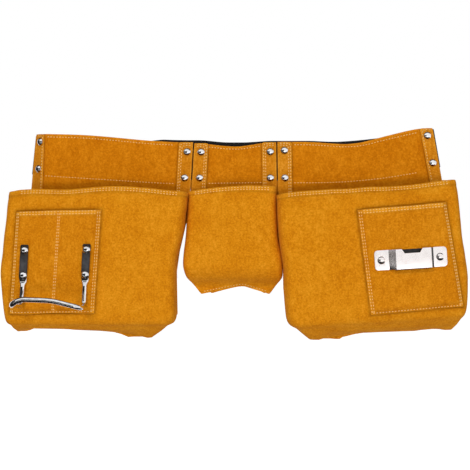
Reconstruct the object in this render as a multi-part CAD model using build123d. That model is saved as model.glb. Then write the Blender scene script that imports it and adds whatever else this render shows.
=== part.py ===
from build123d import *
import os
from math import cos, radians, sin, tan

# Carpenter's tool belt: three leather units on a 2 inch webbing belt.
# Millimetres. +X is to the right as seen from the front (the wearer's left), +Y is back
# towards the wearer, +Z is up. The origin is on the wearer's side of the webbing, at the
# middle of the centre panel.

# ---- driving dimensions ----

webbing_width = 50.8
webbing_thickness = 1.6
leather_thickness = 1.8
strip_width = 18.5
panel_gap = 1.5

bag_depth = 42.0
bag_wall = 1.8
pocket_depth = 7.0
pocket_wall = 1.8

rivet_head_radius = 4.8
rivet_head_height = 2.4
rivet_post_radius = 1.6
rivet_back_radius = 4.2
rivet_back_height = 1.2
rivet_clearance = 0.05

hammer_wire_diameter = 6.0
hammer_reach = 54.0

clip_length = 90.0
clip_height = 25.0
clip_plate = 1.5
clip_standoff = 6.0

buckle_width = 62.0
buckle_plate = 5.0
buckle_bar_slot = 52.4

# ---- worked out from them ----

half_web = webbing_width / 2
web_front = -webbing_thickness
facing_front = web_front - leather_thickness
strip_front = facing_front - leather_thickness
pocket_inner = -bag_depth - pocket_depth
pocket_front = pocket_inner - pocket_wall
cut_reach = 120.0

# The two gaps between the panels lean a little: x at belt level, and x gained per mm of height.
left_gap = (-54.9, 0.057)
right_gap = (54.5, -0.014)

# The outer ends of the panels lean the same way.
left_end = (-263.9, 0.107)
right_end = (263.8, -0.179)

# The side panels climb towards the hips: a bend, then straight on the left; late bend on the right.
left_bend_radius = 900.0
left_bend_run = 58.0
right_bend_radius = 700.0
right_bend_start = 100.0

# The left end turns back round the hip.
hip_turn_start = -240.0
hip_turn_centre = 12.0
hip_turn_angle = 38.0

# ---- helpers ----


def on_line(line, z):
    """x of a leaning line at height z."""
    return line[0] + line[1] * z


def left_rise(x):
    """Height of the webbing's centre line at x on the left unit."""
    run = max(0.0, left_gap[0] - x)
    bent = min(run, left_bend_run)
    return bent**2 / (2 * left_bend_radius) + (run - bent) * left_bend_run / left_bend_radius


def right_rise(x):
    """Height of the webbing's centre line at x on the right unit."""
    return max(0.0, x - right_bend_start) ** 2 / (2 * right_bend_radius)


def polygon(points):
    """Flat face in the XZ plane's own coordinates from corner points (x, z)."""
    return make_face(Polyline(*points, close=True))


def plate(face, front, back):
    """Sheet between the planes y = front and y = back, with the outline of a face drawn as (x, z)."""
    return extrude(Plane.XZ.offset(-back) * face, amount=back - front, dir=(0, -1, 0))


def curved_outline(top_points, corner_points):
    """Face with a smooth top edge through top_points, closed by straight edges."""
    path = [top_points[-1]] + corner_points + [top_points[0]]
    return make_face([Spline(*top_points), Polyline(*path)])


def band(xs, rise, half):
    """Outline of the webbing: half its width above and below the rising centre line."""
    top = [(x, rise(x) + half) for x in xs]
    low = [(x, rise(x) - half) for x in reversed(xs)]
    return make_face([Spline(*top), Line(top[-1], low[0]), Spline(*low), Line(low[-1], top[0])])


def side_trim(line, keep, reach=600.0):
    """Block on one side of a leaning line: keep is -1 for smaller x, +1 for larger x."""
    high = on_line(line, reach)
    low = on_line(line, -reach)
    far = keep * reach
    block = polygon([(low, -reach), (high, reach), (far, reach), (far, -reach)])
    return plate(block, -cut_reach, cut_reach)


def shifted(line, offset):
    """The same leaning line moved sideways."""
    return (line[0] + offset, line[1])


def turned_layer(front, back):
    """Vertical sheet that runs straight along the belt and then turns back round the left hip."""
    turn = radians(hip_turn_angle)
    tail = 40.0
    start_x = left_gap[0] + 20

    def on_arc(radius, angle):
        return (hip_turn_start - radius * sin(angle), hip_turn_centre - radius * cos(angle))

    def tail_end(radius):
        x, y = on_arc(radius, turn)
        return (x - tail * cos(turn), y + tail * sin(turn))

    outer = hip_turn_centre - front
    inner = hip_turn_centre - back
    edges = [
        Line((start_x, front), (hip_turn_start, front)),
        ThreePointArc(on_arc(outer, 0), on_arc(outer, turn / 2), on_arc(outer, turn)),
        Line(on_arc(outer, turn), tail_end(outer)),
        Line(tail_end(outer), tail_end(inner)),
        Line(tail_end(inner), on_arc(inner, turn)),
        ThreePointArc(on_arc(inner, turn), on_arc(inner, turn / 2), on_arc(inner, 0)),
        Line((hip_turn_start, back), (start_x, back)),
        Line((start_x, back), (start_x, front)),
    ]
    return Pos(0, 0, -cut_reach) * extrude(make_face(edges), amount=2 * cut_reach, dir=(0, 0, 1))


def turned_plate(face, front, back):
    """A sheet of the left unit with the given outline, turned back round the hip."""
    return turned_layer(front, back) & plate(face, -cut_reach, cut_reach)


def surface_on_turn(x, radius):
    """Point and outward direction on the turned end at x, for the layer at that bend radius."""
    turn = radians(hip_turn_angle)
    corner_x = hip_turn_start - radius * sin(turn)
    corner_y = hip_turn_centre - radius * cos(turn)
    y = corner_y + (corner_x - x) * tan(turn)
    return y, (-sin(turn), -cos(turn), 0)


def rounded(face, corners, radius):
    """Round the corners of a face that lie nearest to the given points."""
    chosen = [min(face.vertices(), key=lambda v: (Vector(*c, 0) - v.center()).length) for c in corners]
    return fillet(chosen, radius)


# ---- rivets ----


def rivet(place, stack):
    """Cap rivet. The plane lies on the outer surface and points outwards; stack is what it grips."""
    sphere_radius = (rivet_head_radius**2 + rivet_head_height**2) / (2 * rivet_head_height) + 0.6
    dome = Pos(0, 0, rivet_head_height - sphere_radius) * Sphere(sphere_radius)
    dome = dome & (Pos(0, 0, rivet_head_height / 2) * Cylinder(rivet_head_radius, rivet_head_height))
    post = Pos(0, 0, -stack / 2) * Cylinder(rivet_post_radius, stack)
    back = Pos(0, 0, -stack - rivet_back_height / 2) * Cylinder(rivet_back_radius, rivet_back_height)
    return place * (dome + post + back)


def rivet_hole(place):
    """Hole for a rivet's post, with clearance."""
    return place * Cylinder(rivet_post_radius + rivet_clearance, 40)


def facing_out(x, y, z):
    """Plane at a point, looking out of the front of the belt."""
    return Plane(origin=(x, y, z), x_dir=(1, 0, 0), z_dir=(0, -1, 0))


# Rivet places on the belt: x and z of each, inner and outer end of each panel.
left_inner_rivets = [(-62.2, 12.9), (-65.4, -21.0)]
left_outer_rivets = [(-254.0, 26.5), (-256.8, -8.5)]
centre_left_rivets = [(-44.0, 12.6), (-45.9, -21.0)]
centre_right_rivets = [(45.6, 13.0), (45.8, -21.0)]
right_inner_rivets = [(64.0, 14.6), (64.8, -21.0)]
right_outer_rivets = [(249.2, 34.0), (256.2, -1.5)]


def flat_rivet_places(points):
    return [facing_out(x, strip_front, z) for x, z in points]


def turned_rivet_places(points):
    places = []
    for x, z in points:
        y, outward = surface_on_turn(x, hip_turn_centre - strip_front)
        places.append(Plane(origin=(x, y, z), x_dir=(0, 0, 1), z_dir=outward))
    return places


belt_stack = -strip_front
left_rivet_places = flat_rivet_places(left_inner_rivets) + turned_rivet_places(left_outer_rivets)
centre_rivet_places = flat_rivet_places(centre_left_rivets + centre_right_rivets)
right_rivet_places = flat_rivet_places(right_inner_rivets + right_outer_rivets)


def drilled(part, places):
    """Cut the rivet holes through a sheet."""
    for place in places:
        part = part - rivet_hole(place)
    return part


def rivet_set(places, stack):
    """All rivets of one unit, as separate solids."""
    return Compound(children=[rivet(place, stack).solids()[0] for place in places])


# ---- webbing of the three units ----


def web_belt_left():
    xs = [-50.0, -75.0, -110.0, -150.0, -190.0, -230.0, -275.0]
    sheet = turned_plate(band(xs, left_rise, half_web), web_front, 0)
    sheet = sheet & side_trim(shifted(left_gap, -panel_gap / 2), -1)
    sheet = sheet & side_trim(left_end, 1)
    return drilled(sheet, left_rivet_places)


def web_belt_center():
    face = polygon([(-60, -half_web), (-60, half_web), (60, half_web), (60, -half_web)])
    sheet = plate(face, web_front, 0)
    sheet = sheet & side_trim(shifted(left_gap, panel_gap / 2), 1)
    sheet = sheet & side_trim(shifted(right_gap, -panel_gap / 2), -1)
    return drilled(sheet, centre_rivet_places)


def web_belt_right():
    xs = [50.0, 75.0, 100.0, 140.0, 180.0, 220.0, 275.0]
    sheet = plate(band(xs, right_rise, half_web), web_front, 0)
    sheet = sheet & side_trim(shifted(right_gap, panel_gap / 2), 1)
    sheet = sheet & side_trim(shifted(right_end, -1.5), -1)
    return drilled(sheet, right_rivet_places)


def gap_web(line):
    """The short bare stretch of webbing that bends between two panels."""
    low = (on_line(line, -half_web), -half_web)
    high = (on_line(line, half_web), half_web)
    reach = panel_gap / 2
    corners = [(low[0] - reach, low[1]), (high[0] - reach, high[1]), (high[0] + reach, high[1])]
    return plate(polygon(corners + [(low[0] + reach, low[1])]), web_front, 0)


# ---- belt facings and strips ----

# How far down each facing goes: beside a gap it stops at the bag's mouth, elsewhere it hangs inside.
left_foot = -43.0
centre_left_foot = -39.2
centre_right_foot = -33.2
right_foot = -42.6
hip_foot = -37.4
facing_tail = -48.0


def left_facing():
    edge = shifted(left_gap, -panel_gap / 2)
    top = [(on_line(edge, 23.6), 23.6), (-75, 24.4), (-100, 26.0), (-122, 28.2), (-169, 32.6)]
    top += [(-204, 35.0), (-247, 36.2), (on_line(left_end, 36.9), 36.9)]
    low = [(on_line(left_end, hip_foot), hip_foot), (-238, hip_foot), (-238, -46), (-68, facing_tail)]
    low += [(-68, left_foot), (on_line(edge, left_foot), left_foot)]
    sheet = turned_plate(curved_outline(top, low), facing_front, web_front)
    return drilled(sheet, left_rivet_places)


def center_facing():
    left = shifted(left_gap, panel_gap / 2)
    right = shifted(right_gap, -panel_gap / 2)
    top = [(on_line(left, 23.4), 23.4), (-33, 23.3), (-12, 21.9), (4.3, 21.4), (22.9, 23.2)]
    top += [(36, 24.6), (on_line(right, 24.6), 24.6)]
    low = [(on_line(right, centre_right_foot), centre_right_foot), (45, centre_right_foot), (45, -46)]
    low += [(-51, facing_tail), (-51, centre_left_foot), (on_line(left, centre_left_foot), centre_left_foot)]
    return drilled(plate(curved_outline(top, low), facing_front, web_front), centre_rivet_places)


def right_facing():
    edge = shifted(right_gap, panel_gap / 2)
    top = [(on_line(edge, 24.6), 24.6), (74, 24.8), (103, 25.2), (141, 25.0), (169, 27.2), (188.5, 30.8)]
    top += [(207.6, 35.6), (238, 41.8), (on_line(right_end, 43.8), 43.8)]
    low = [(on_line(right_end, -25), -25), (258, -25), (258, -34), (66, -51), (66, right_foot)]
    low += [(on_line(edge, right_foot), right_foot)]
    return drilled(plate(curved_outline(top, low), facing_front, web_front), right_rivet_places)


def strip_outline(inner, outer, low, high):
    """Edge strip between two leaning lines, with rounded corners at the top and small ones below."""
    corners = [(on_line(inner, low), low), (on_line(inner, high), high)]
    corners += [(on_line(outer, high), high), (on_line(outer, low), low)]
    face = rounded(polygon(corners), [corners[1], corners[2]], 3.0)
    return rounded(face, [corners[0], corners[3]], 1.5)


def flat_strip(inner, outer, low, high, places):
    face = strip_outline(inner, outer, low, high)
    return drilled(plate(face, strip_front, facing_front), places)


def left_inner_strip():
    outer = shifted(left_gap, -panel_gap / 2)
    return flat_strip(shifted(outer, -strip_width), outer, left_foot, 23.2, left_rivet_places)


def left_outer_strip():
    inner_line = (-248.9, 0.044)
    face = strip_outline(left_end, inner_line, hip_foot + 0.2, 36.0)
    return drilled(turned_plate(face, strip_front, facing_front), left_rivet_places)


def center_strip_left():
    outer = shifted(left_gap, panel_gap / 2)
    return flat_strip(outer, shifted(outer, strip_width), centre_left_foot, 23.0, centre_rivet_places)


def center_strip_right():
    outer = shifted(right_gap, -panel_gap / 2)
    return flat_strip(shifted(outer, -strip_width), outer, centre_right_foot, 24.2, centre_rivet_places)


def right_inner_strip():
    outer = shifted(right_gap, panel_gap / 2)
    return flat_strip(outer, shifted(outer, strip_width), right_foot, 24.4, right_rivet_places)


def right_outer_strip():
    inner_line = (247.6, -0.19)
    return flat_strip(inner_line, right_end, -25.0, 43.4, right_rivet_places)


# ---- bags ----

# A bag is a stack of cross sections from its mouth down to its seam. Each section has the left
# point, the right point (x, z) and how far the front stands out there.
seam_inset = 3.0
shoulder_inset = 11.0

left_bag_sections = [
    ((-286.7, -39.3), (-60.2, -43.6), 34.0),
    ((-288.6, -57.0), (-61.2, -58.0), bag_depth),
    ((-291.4, -86.7), (-64.4, -86.0), bag_depth),
    ((-294.6, -116.0), (-71.4, -116.0), bag_depth),
    ((-297.0, -146.6), (-75.2, -142.0), bag_depth),
    ((-292.3, -198.0), (-74.2, -198.0), bag_depth),
    ((-286.5, -209.5), (-87.0, -211.0), 30.0),
    ((-282.0, -218.7), (-104.5, -226.3), 10.0),
]
centre_pouch_sections = [
    ((-59.0, -39.4), (52.1, -33.4), 26.0),
    ((-60.0, -58.0), (52.3, -58.0), 30.0),
    ((-63.2, -98.0), (54.4, -96.0), 30.0),
    ((-65.4, -120.0), (58.4, -118.0), 30.0),
    ((-66.4, -136.0), (61.3, -136.0), 30.0),
    ((-62.6, -148.5), (60.8, -149.0), 22.0),
    ((-56.2, -156.5), (55.6, -158.0), 8.0),
]
right_bag_sections = [
    ((54.4, -44.5), (280.5, -24.6), 34.0),
    ((53.2, -62.0), (282.6, -42.0), bag_depth),
    ((55.2, -96.0), (286.2, -76.0), bag_depth),
    ((58.9, -118.0), (288.4, -98.0), bag_depth),
    ((61.9, -138.0), (291.4, -120.0), bag_depth),
    ((62.4, -164.0), (295.0, -150.0), bag_depth),
    ((66.0, -203.0), (293.6, -188.5), bag_depth),
    ((79.5, -215.0), (288.0, -202.5), 30.0),
    ((94.5, -229.0), (280.0, -216.6), 10.0),
]


def section_face(left, right, depth, wall, back):
    """One cross section of a bag: flat back, sides that swell and round into the front."""
    left = Vector(left[0], 0, left[1])
    right = Vector(right[0], 0, right[1])
    along = (right - left).normalized()
    width = (right - left).length
    deep = depth + web_front

    def point(distance, y):
        place = left + along * distance
        return (place.X, y, place.Z)

    profile = [
        (seam_inset + wall, back),
        (wall, web_front - 0.28 * deep),
        (wall, web_front - 0.62 * deep),
        (min(shoulder_inset, 0.3 * depth + 2) + 0.4 * wall, -depth + wall),
    ]
    points = [point(distance, y) for distance, y in profile]
    points += [point(width - distance, y) for distance, y in reversed(profile)]
    return Face(Wire.make_polygon([Vector(*p) for p in points], close=True))


def bag_shell(sections):
    """Front, sides and bottom of a bag in one skin, open at the top and at the back."""
    skin = [section_face(left, right, depth, 0, web_front) for left, right, depth in sections]
    hollow = []
    mouth_left, mouth_right, mouth_depth = sections[0]
    lifted_left = (mouth_left[0], mouth_left[1] + 6)
    lifted_right = (mouth_right[0], mouth_right[1] + 6)
    hollow.append(section_face(lifted_left, lifted_right, mouth_depth, bag_wall, web_front + 0.6))
    for left, right, depth in sections[:-1]:
        hollow.append(section_face(left, right, depth, bag_wall, web_front + 0.6))
    left, right, depth = sections[-1]
    floor_left = (left[0], left[1] + bag_wall)
    floor_right = (right[0], right[1] + bag_wall)
    hollow.append(section_face(floor_left, floor_right, depth, bag_wall, web_front + 0.6))
    return loft(skin, ruled=True) - loft(hollow, ruled=True)


back_inset = 0.2


def back_wall(top_points, sections):
    """Flat back of a bag: a hair narrower than its sides, so it stands proud of the shell's seam."""
    left_side = [(left[0] + back_inset, left[1]) for left, right, depth in sections]
    right_side = [(right[0] - back_inset, right[1]) for left, right, depth in reversed(sections)]
    return plate(polygon(top_points + left_side + right_side), web_front, 0)


web_clearance = 0.5


def under_web(rise, x):
    """Point just below the webbing's lower edge."""
    return (x, rise(x) - half_web - web_clearance)


def left_bag_back():
    right_x = on_line(left_gap, -30) - panel_gap / 2
    top = [under_web(left_rise, x) for x in (right_x, -70, -85, -100, -115, -180, -238)]
    top += [(-238, -38.2), (-286.0, -38.2)]
    return back_wall(top, left_bag_sections)


def center_pouch_back():
    """Starts below the left panel's corner, which swings past it when the belt is wrapped."""
    line = shifted(left_gap, panel_gap / 2)
    right_x = on_line(right_gap, -30) - panel_gap / 2
    high = -half_web - web_clearance
    low = left_foot - 1.5
    (_, mouth_right, _) = centre_pouch_sections[0]
    top = [(mouth_right[0] - back_inset, mouth_right[1]), (right_x, -30), (right_x, high)]
    top += [(on_line(line, -30), high), (on_line(line, low), low)]
    wall = back_wall(top, centre_pouch_sections[1:-1])
    return wall + plate(pouch_hem_outline(), web_front, 0)


def pouch_hem_outline():
    """Lower edge of the centre pouch: a wide upturned V between two clipped corners."""
    corners = [(-61.2, -147.5), (-44.2, -171.6), (9.7, -160.8), (45.3, -171.8), (59.8, -148.0)]
    return polygon(corners)


def center_pouch_front():
    shell = bag_shell(centre_pouch_sections)
    hem = plate(pouch_hem_outline(), facing_front, web_front)
    seam_height = centre_pouch_sections[-1][0][1]
    above = Pos(0, 0, seam_height + 100.6) * Box(200, 20, 200)
    return shell + (hem - above)


def right_bag_back():
    left_x = on_line(right_gap, -30) + panel_gap / 2
    top = [(280.0, -23.0), (268.0, -23.0), under_web(right_rise, 262)]
    top += [under_web(right_rise, x) for x in (220, 180, 140, 100)]
    top += [(left_x, -half_web - web_clearance), (left_x, -40)]
    return back_wall(top, right_bag_sections)


# ---- patch pockets ----


def inset_pocket(corners, wall, top_rise):
    """Slot outline of a pocket: walls left at the sides and the bottom, open past the top."""
    top_left, top_right, low_right, low_left = corners
    return [
        (top_left[0] + wall + 0.1 * top_rise, top_left[1] + top_rise),
        (top_right[0] - wall - 0.1 * top_rise, top_right[1] + top_rise),
        (low_right[0] - wall, low_right[1] + wall),
        (low_left[0] + wall, low_left[1] + wall),
    ]


def patch_pocket(corners, divider, places):
    """Pocket sewn on a bag's front: a leather tray with one slot, or two with a divider."""
    body = plate(polygon(corners), pocket_front, -bag_depth)
    slot = plate(polygon(inset_pocket(corners, pocket_wall, 8)), pocket_inner, -bag_depth + 1)
    if divider:
        (top_x, top_z), (low_x, low_z) = divider
        half = pocket_wall / 2
        wall = [(top_x - half, top_z + 20), (top_x + half, top_z + 20)]
        wall += [(low_x + half, low_z), (low_x - half, low_z)]
        slot = slot - plate(polygon(wall), pocket_inner - 1, 0)
    return drilled(body - slot, places)


hammer_pocket_corners = [(-271.0, -65.7), (-165.2, -63.3), (-174.2, -191.9), (-279.9, -193.3)]
hammer_pocket_divider = ((-218.6, -65.7), (-226.7, -192.5))
tape_pocket_corners = [(153.7, -63.8), (262.0, -55.2), (283.4, -183.4), (169.4, -194.0)]

# ---- hammer loop ----

# Each end of the wire is flattened into a tongue that lies under a black strip.
hammer_tongue_width = 8.0
hammer_tongue_thickness = 2.0
hammer_strip_width = 10.0
hammer_strip_thickness = 1.6
tongue_front = pocket_front - hammer_tongue_thickness
hammer_strip_front = tongue_front - hammer_strip_thickness

# Top and bottom of each strip (x, z), and the foot of the leg below it.
hammer_left = ((-260.3, -107.0), (-262.7, -151.5), (-264.4, -183.5))
hammer_right = ((-183.4, -106.0), (-185.9, -150.5), (-187.0, -183.0))
hammer_rivet_shares = (0.157, 0.854)

# The front bar is bowed upwards: (x, z) of its left corner, two points along it and its right corner.
hammer_bar = [(-264.5, -177.2), (-248.0, -168.6), (-222.0, -169.6), (-181.5, -180.4)]
hammer_bar_radii = [9.0, 22.0, 90.0, 9.0]
hammer_foot_radius = 7.0


def between(a, b, part):
    return (a[0] + (b[0] - a[0]) * part, a[1] + (b[1] - a[1]) * part)


def hammer_rivet_places():
    places = []
    for top, foot, _ in (hammer_left, hammer_right):
        for part in hammer_rivet_shares:
            x, z = between(top, foot, part)
            places.append(facing_out(x, hammer_strip_front, z))
    return places


def leaning_bar(top, foot, half):
    """Outline of a narrow bar along the line from top to foot."""
    corners = [(top[0] - half, top[1]), (top[0] + half, top[1])]
    corners += [(foot[0] + half, foot[1]), (foot[0] - half, foot[1])]
    return polygon(corners)


def hammer_strap(top, foot):
    face = leaning_bar(top, foot, hammer_strip_width / 2)
    face = fillet(face.vertices(), 1.5)
    return drilled(plate(face, hammer_strip_front, tongue_front), hammer_rivet_places())


def hammer_loop():
    wire_y = pocket_front - hammer_wire_diameter / 2
    front_y = pocket_front - hammer_reach
    _, left_strip_foot, left_leg_foot = hammer_left
    _, right_strip_foot, right_leg_foot = hammer_right
    points = [(left_strip_foot[0], wire_y, left_strip_foot[1] - 1.0)]
    points.append((left_leg_foot[0], wire_y, left_leg_foot[1]))
    points += [(x, front_y, z) for x, z in hammer_bar]
    points.append((right_leg_foot[0], wire_y, right_leg_foot[1]))
    points.append((right_strip_foot[0], wire_y, right_strip_foot[1] - 1.0))
    corners = [hammer_foot_radius] + hammer_bar_radii + [hammer_foot_radius]
    path = FilletPolyline(*points, radius=corners)
    start = Plane(origin=path @ 0, z_dir=path % 0)
    loop = sweep(start * Circle(hammer_wire_diameter / 2), path=path)
    for top, foot, _ in (hammer_left, hammer_right):
        high = between(top, foot, 0.05)
        low = (foot[0], foot[1] - 6.0)
        face = leaning_bar(high, low, hammer_tongue_width / 2)
        loop = loop + plate(fillet(face.vertices(), 2.0), tongue_front, pocket_front)
    return drilled(loop, hammer_rivet_places())


# ---- tape clip ----

clip_centre = (217.8, -124.0)
clip_tilt = 3.6
clip_rivet_offset = 36.5
# The raised middle has a gentle ramp on the left and a steep one on the right (distances along the clip).
clip_left_foot = -26.5
clip_left_top = -19.0
clip_right_top = 23.6
clip_right_foot = 26.8
# How far the outer bends sit beyond the inner ones, so the ramps keep the plate's thickness.
clip_left_bend = 0.5
clip_right_bend = 0.9
clip_notch_middle = 1.2
clip_notch_top = 27.0
clip_notch_foot = 19.0
clip_notch_depth = 5.4


def clip_plane():
    """Plane on the tape pocket's front, tilted with the pocket."""
    tilt = radians(clip_tilt)
    x_dir = (cos(tilt), 0, sin(tilt))
    return Plane(origin=(clip_centre[0], pocket_front, clip_centre[1]), x_dir=x_dir, z_dir=(0, -1, 0))


def clip_rivet_places():
    return [clip_plane() * Plane(origin=(side * clip_rivet_offset, 0, clip_plate)) for side in (-1, 1)]


def tape_clip():
    """Steel strap with a raised middle, under which a tape measure's belt clip slides."""
    end = clip_length / 2
    top = clip_standoff + clip_plate
    lower = [(-end, 0), (clip_left_foot, 0), (clip_left_top, clip_standoff)]
    lower += [(clip_right_top, clip_standoff), (clip_right_foot, 0), (end, 0)]
    upper = [(end, clip_plate), (clip_right_foot + clip_right_bend, clip_plate)]
    upper += [(clip_right_top + clip_right_bend, top), (clip_left_top - clip_left_bend, top)]
    upper += [(clip_left_foot - clip_left_bend, clip_plate), (-end, clip_plate)]
    profile = make_face(Polyline(*(lower + upper), close=True))
    # The profile is drawn as (along, out) and pushed through the clip's height.
    across = Plane(origin=(0, -clip_height / 2, 0), x_dir=(1, 0, 0), z_dir=(0, -1, 0))
    strap = extrude(across * profile, amount=-clip_height)
    outline = fillet(Rectangle(clip_length, clip_height).vertices(), 4.5)
    high = clip_height / 2
    low = high - clip_notch_depth
    half_top = clip_notch_top / 2
    half_foot = clip_notch_foot / 2
    notch = [(clip_notch_middle - half_top, high + 1), (clip_notch_middle + half_top, high + 1)]
    notch += [(clip_notch_middle + half_foot, low), (clip_notch_middle - half_foot, low)]
    outline = outline - make_face(Polyline(*notch, close=True))
    strap = strap & extrude(outline, amount=2 * top)
    return drilled(clip_plane() * strap, clip_rivet_places())


# ---- straps, folded back behind the side panels ----

left_fold_radius = 3.2
right_fold_radius = 3.0
left_run = 150.0
right_run = 146.0
bar_gap = 0.1
strap_half = webbing_thickness / 2
buckle_lift = strap_half + bar_gap + buckle_plate / 2
tail_level = 2 * buckle_lift


def strap_plane(start, far):
    """Strap's own frame: x along it from the fold, z away from the panel, y across its width."""
    along = (Vector(*far) - Vector(*start)).normalized()
    up = (Vector(0, 0, 1) - along * along.Z).normalized()
    outward = up.cross(along)
    if outward.Y < 0:
        outward = -outward
    return Plane(origin=start, x_dir=along, z_dir=outward)


left_strap_plane = strap_plane((-260.9, 19.4, 9.6), (-88.0, 5.0, -8.4))
right_strap_plane = strap_plane((259.5, 5.2, 17.6), (115.5, 6.4, -7.6))


def webbing_path(points, corner_radii):
    """Webbing along a path drawn as (along the strap, away from the panel)."""
    line = FilletPolyline(*points, radius=corner_radii)
    face = trace(line, line_width=webbing_thickness)
    side = Plane(origin=(0, 0, 0), x_dir=(1, 0, 0), z_dir=(0, -1, 0))
    return extrude(side * face, amount=half_web, both=True)


def left_strap():
    """Adjustable strap: runs to the male half, round its middle bar and back on itself."""
    turn = left_run + 15.2
    points = [(0, 0), (turn, 0), (turn, tail_level), (left_run - 1.5, tail_level)]
    points += [(left_run - 15, 1.8), (left_run - 66, 1.8)]
    return left_strap_plane * webbing_path(points, [1.4, 1.4, 2.5, 2.5])


def right_strap():
    """Fixed strap: runs to the female half, round its rear bar and is sewn down on itself."""
    turn = right_run + 6.3
    points = [(0, 0), (turn, 0), (turn, tail_level), (right_run - 1.5, tail_level)]
    points += [(right_run - 15, 1.8), (right_run - 50, 1.8)]
    return right_strap_plane * webbing_path(points, [1.4, 1.4, 2.5, 2.5])


def belt_fold(plane, radius, angle):
    """Bent stretch of webbing between the panel and the strap, open a hair at both ends."""
    spare = 4.0
    turn = angle - 2 * spare

    def at(r, a):
        return (-r * sin(radians(a)), -radius + r * cos(radians(a)))

    outer = radius + strap_half
    inner = radius - strap_half
    first = spare
    last = spare + turn
    middle = (first + last) / 2
    edges = [
        ThreePointArc(at(outer, first), at(outer, middle), at(outer, last)),
        Line(at(outer, last), at(inner, last)),
        ThreePointArc(at(inner, last), at(inner, middle), at(inner, first)),
        Line(at(inner, first), at(outer, first)),
    ]
    side = Plane(origin=(0, 0, 0), x_dir=(1, 0, 0), z_dir=(0, -1, 0))
    return plane * extrude(side * make_face(edges), amount=half_web - 0.4, both=True)


keeper_wall = 1.6
keeper_length = 12.0
keeper_start = left_run - 40.0


def strap_keeper():
    """Flat loop that holds the doubled webbing together and slides along it."""
    low = -strap_half - 0.3
    high = 1.8 + strap_half + 0.3
    inner_height = high - low
    centre = (low + high) / 2
    place = Pos(keeper_start + keeper_length / 2, 0, centre)
    inside = webbing_width + 1.0
    ring = Box(keeper_length, inside + 2 * keeper_wall, inner_height + 2 * keeper_wall)
    ring = fillet(ring.edges().filter_by(Axis.X), 1.2)
    return left_strap_plane * (place * (ring - Box(keeper_length + 1, inside, inner_height)))


# ---- side release buckle ----

male_frame_length = 25.0
male_tip = 52.0
prong_root = 25.7
prong_pivot_side = 21.8


def slab(x_from, x_to, half_width, thickness):
    """Block centred across the strap and on the buckle's mid plane."""
    return Pos((x_from + x_to) / 2, 0, 0) * Box(x_to - x_from, 2 * half_width, thickness)


def male_place():
    return left_strap_plane * Pos(left_run, 0, buckle_lift)


def buckle_male():
    """Bar frame with two webbing slots, a cross bar and the guide tongue between the prongs."""
    frame = slab(0, male_frame_length, buckle_width / 2, buckle_plate)
    frame = fillet(frame.edges().filter_by(Axis.Z), 3.0)
    frame = frame - slab(4.0, 9.5, buckle_bar_slot / 2, 20)
    frame = frame - slab(14.0, 19.5, buckle_bar_slot / 2, 20)
    tongue = slab(male_frame_length - 1, 47.0, 9.0, buckle_plate - 1)
    tongue = fillet(tongue.edges().filter_by(Axis.Z), 2.5)
    return male_place() * (frame + tongue)


def buckle_prong(side):
    """Springy arm with a catch head; side is -1 or +1 across the strap."""
    outline = [(prong_root, 19.6), (prong_root, 24.0), (37.0, 25.4), (37.6, 29.8), (43.0, 29.2)]
    outline += [(male_tip, 22.5), (male_tip - 1, 19.4), (43.0, 18.6)]
    face = make_face(Polyline(*outline, close=True))
    arm = Pos(0, 0, -buckle_plate / 2) * extrude(face, amount=buckle_plate, dir=(0, 0, 1))
    if side < 0:
        arm = mirror(arm, about=Plane.XZ)
    return male_place() * arm


female_length = 50.0
female_half_thickness = 6.0
socket_half_width = 27.6
socket_half_thickness = 3.1


def buckle_female():
    """Hollow housing with a mouth for the prongs, a window at each side and a rear bar."""
    body = slab(9.5, female_length, buckle_width / 2, 2 * female_half_thickness)
    body = fillet(body.edges().filter_by(Axis.X), 3.0)
    socket = slab(13.0, female_length + 1, socket_half_width, 2 * socket_half_thickness)
    windows = slab(22.0, 38.0, buckle_width / 2 + 1, 2 * socket_half_thickness)
    rails = slab(0, 10.5, buckle_width / 2, buckle_plate)
    rails = fillet(rails.edges().filter_by(Axis.Z), 2.5)
    slot = slab(4.5, 9.5, buckle_bar_slot / 2, 20)
    housing = (body - socket - windows) + (rails - slot)
    return right_strap_plane * Pos(right_run, 0, buckle_lift) * housing


# ---- write every node ----


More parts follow.
